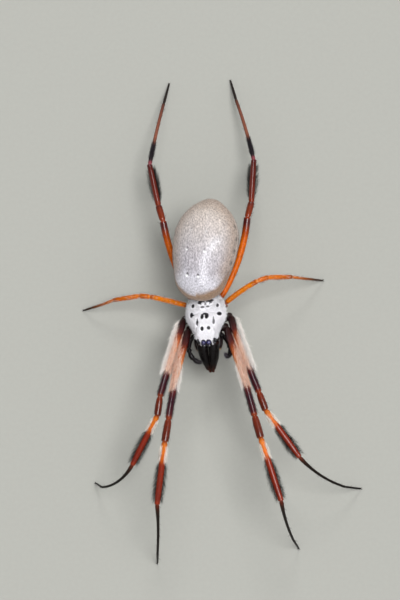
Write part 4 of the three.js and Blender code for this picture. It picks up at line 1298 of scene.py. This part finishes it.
def build_leg(side_name, index):
    name = f"leg{index + 1}_{side_name}"
    tables = [COXA_RADII] + LEG_RADII[index]
    loft, forward, tip = limb_loft(leg_lines(side_name, index), tables, RINGS)
    ankle = int(np.argmax(loft.marks["zone"][:, 0] >= 4)) - 1  # the last ring of the tibia
    upper, foot = loft.part(0, ankle), loft.part(ankle, len(loft.rings) - 1)
    upper_tint, foot_tint = (colours_at(LEG_COLOURS[index], piece.marks["zone"]) for piece in (upper, foot))
    nodes = [f"{name}_{part}" for part in ("coxa", "femur", "patella", "tibia")]
    skin(f"{name}_skin", [upper], LEG_CHITIN, [upper_tint], "leg_cuticle", nodes)
    skin(f"{name}_foot_skin", [foot], FOOT_CHITIN, [foot_tint], "foot", [f"{name}_foot"])
    build_claws(name, tip, forward)
    rng = np.random.default_rng(100 + 10 * index + (side_name == "left"))
    outer = SIDES[side_name] * (1 if index < 2 else -1)
    brush_shape = {"slender": 0.015, "bend": 0.28}
    if index < 2:
        fringe = -outer if index == 0 else outer  # leg I is fringed on its inner side, leg II on its outer
        whites, blacks = front_leg_batches(loft, outer, fringe, rng)
        coat(f"{name}_white_hair", whites, PALE_HAIR, "white_hair", {"slender": 0.018, "bend": 0.2})
        coat(f"{name}_black_brush", blacks, DARK_HAIR, "black_hair", brush_shape)
    if index == 3:
        blacks = fourth_leg_batches(loft, -outer, rng)
        coat(f"{name}_black_brush", blacks, DARK_HAIR, "black_hair", brush_shape)
    shorts = short_leg_batches(loft, index, rng)
    hair_finish, slot = (PALE_HAIR, "white_hair") if index == 2 else (DARK_HAIR, "black_hair")
    coat(f"{name}_short_hair", shorts, hair_finish, slot, {"slender": 0.04, "bend": 0.3, "rings": 2})


# ---------------------------------------------------------------- palps, waist and spinnerets

PALPS = {
    "right": [[2.9, -1.9, -0.9], [3.1, -2.4, -0.6], [3.8, -2.85, -0.45], [5, -3, -0.35], [6.15, -2.65, -0.6],
              [6.88, -1.88, -0.9], [7, -1.2, -1.2]],
    "left": [[2.9, 1.9, -0.9], [3.3, 2.6, -0.55], [4.15, 3.15, -0.5], [5.3, 3.45, -0.6], [6.1, 3.4, -0.9],
             [6.3, 2.85, -1.3], [5.75, 2.5, -1.6]],
}
PALP_JOINTS = [0, 0.12, 0.42, 0.54, 0.74, 1]
PALP_RADII = [
    [[0, 0.35], [0.6, 0.41], [1, 0.39]], [[0, 0.37], [0.4, 0.39], [1, 0.35]],
    [[0, 0.35], [0.5, 0.38], [1, 0.36]], [[0, 0.35], [0.5, 0.38], [1, 0.35]],
    [[0, 0.33], [0.4, 0.35], [0.85, 0.25], [1, 0.1]]]
PALP_COLOURS = {
    "right": [[0, "#0e0a0b"], [3, "#120d0e"], [4, "#141011"], [5, "#1f191a"]],
    "left": [[0, "#0e0a0b"], [3, "#120d0e"], [4, "#1a1414"], [4.6, "#33282a"], [5, "#4a342e"]],
}
PALP_RINGS = [5, 14, 6, 10, 16]  # between the joints of each piece
PALP_STEPS = 240  # along the whole middle line, which is cut at the joints
PALP_HAIRS = 600


def build_palp(side_name):
    whole = BODY.out(smooth_path(PALPS[side_name], PALP_STEPS + 1))
    cuts = [round(PALP_STEPS * share) for share in PALP_JOINTS]
    lines = [whole[a:b + 1] for a, b in zip(cuts[:-1], cuts[1:])]
    loft, _, _ = limb_loft(lines, PALP_RADII, PALP_RINGS, 20)
    tint = colours_at(PALP_COLOURS[side_name], loft.marks["zone"])
    skin(f"palp_{side_name}_skin", [loft], BLACK_CHITIN, [tint], "palp", [f"palp_{side_name}"])
    rng = np.random.default_rng(61 + (side_name == "left"))
    close = loft.scatter(PALP_HAIRS, 0.1 + 0.9 * ease(2.8, 4.2, loft.marks["zone"]), rng)
    furry = ease(3.8, 4.4, close["zone"])
    grey = tone("#6c6a76") if side_name == "left" else tone("#3c383c")
    tint = blend(np.broadcast_to(tone("#171214"), (PALP_HAIRS, 3)), grey, furry * 0.9)
    batches = [(close, {"rise": 28 + 6 * furry, "length": 0.26 + 0.1 * furry, "tint": tint, "sway": 0.3})]
    long = loft.scatter(70, ease(0.5, 1.0, loft.marks["zone"]), rng)
    batches.append((long, {"rise": 55, "length": 0.6, "tint": tone("#1c1516")}))
    coat(f"palp_{side_name}_hair", batches, DARK_HAIR, "black_hair", {"slender": 0.03, "bend": 0.3})


WAIST_RUN = np.array([0.1, 2.6, 0.45])
WAIST_RADII = [[0, 0.41], [0.5, 0.34], [1, 0.41]]


def build_waist():
    start = BODY.out([CARAPACE_BACK + 0.5, 0, -0.55])
    loft = rod_loft([start, start + 0.5 * WAIST_RUN, start + WAIST_RUN], WAIST_RADII, 40, 28)
    share = loft.marks["share"]
    loft.push(0.02 * np.sin(share * 60))
    tint = colours_at([[0, "#3a2620"], [1, "#6b5044"]], share)
    skin("waist_skin", [loft], SOFT_SKIN, [tint], "waist", ["waist"])


MOUND = [[6.75, 0, -2.25], [0.95, 0.8, 0.6]]
TAIL_KNOB = [[7.25, 0, -1.55], [0.6, 0.44, 0.5]]  # fills the corner between the mound and the abdomen
SPINNERETS = [  # forward, across, tilt, length, radius
    [-0.4, 0.4, -0.15, 1.25, 0.3], [0.4, 0.4, 0.5, 1.2, 0.27], [0.0, 0.16, 0.2, 0.8, 0.15]]
# how a spinneret tapers, as shares of its radius
TAPER = [[0, 1.35], [0.55, 1], [0.6, 0.86], [0.66, 0.95], [0.92, 0.6], [1, 0.25]]


def build_spinnerets():
    lofts = [ball_loft(ABDOMEN, MOUND[0], np.array(MOUND[1]) * 0.98, 24, 30)]
    tints = [tone("#5a453a")]
    for forward, across, tilt, length, radius in SPINNERETS:
        for side in SIDES.values():
            root = np.array([MOUND[0][0] + forward, across * side, MOUND[0][2] - 0.1])
            run = np.array([tilt, across * side * 0.4, -0.9])
            points = [root, root + 0.5 * length * run, root + length * run]
            loft = rod_loft(ABDOMEN.out(points), [[at, share * radius] for at, share in TAPER], 30, 22)
            lofts.append(loft)
            tints.append(colours_at([[0, "#3a2a22"], [0.55, "#4a3326"], [0.62, "#2a1c16"], [1, "#8a6a4c"]],
                                    loft.marks["share"]))
    lofts.append(ball_loft(ABDOMEN, TAIL_KNOB[0], np.array(TAIL_KNOB[1]) * 0.98, 16, 22))
    tints.append(tone("#4a382e"))
    skin("spinneret_cones", lofts, SOFT_SKIN, tints, "spinnerets", ["spinnerets"])
    rng = np.random.default_rng(71)
    batches = [(loft.scatter(130, 0.3 + loft.marks["share"], rng),
                {"rise": 30, "length": 0.26, "tint": tone("#6d5a4c")}) for loft in lofts[1:-1]]
    coat("spinneret_hair", batches, PALE_HAIR, "white_hair", {"slender": 0.03, "bend": 0.3})


# ---------------------------------------------------------------- the floor and the whole animal

FLOOR = {"flat": 1300.0, "reach": 2100.0, "rise": 800.0, "sides": 96, "rows": 16}


def build_floor():
    """A round board whose far edge sweeps up, so that no horizon shows."""
    sides, rows = FLOOR["sides"], FLOOR["rows"]
    turn = np.linspace(0, 2 * np.pi, sides, endpoint=False)
    bend = np.linspace(0, np.pi / 2, rows + 1)[:, None]
    reach = FLOOR["flat"] + (FLOOR["reach"] - FLOOR["flat"]) * np.sin(bend)
    height = FLOOR["rise"] * (1 - np.cos(bend))
    rings = np.stack([reach * np.cos(turn), reach * np.sin(turn), height + 0 * turn], axis=-1)
    row, side = [g.ravel() for g in np.meshgrid(np.arange(rows), np.arange(sides), indexing="ij")]
    after = (side + 1) % sides
    inner, outer = row * sides, (row + 1) * sides
    quads = np.stack([inner + side, outer + side, outer + after, inner + after], axis=1)
    corners = np.concatenate([np.arange(sides), quads.ravel()])
    starts = np.concatenate([[0], sides + 4 * np.arange(len(quads))])
    new_object("floor", rings.reshape(-1, 3), corners, starts, floor_board())


build_floor()
build_carapace()
build_abdomen()
build_sternum()
build_jaws()
build_waist()
build_spinnerets()
for side_name in SIDES:
    build_palp(side_name)
    for index in range(4):
        build_leg(side_name, index)
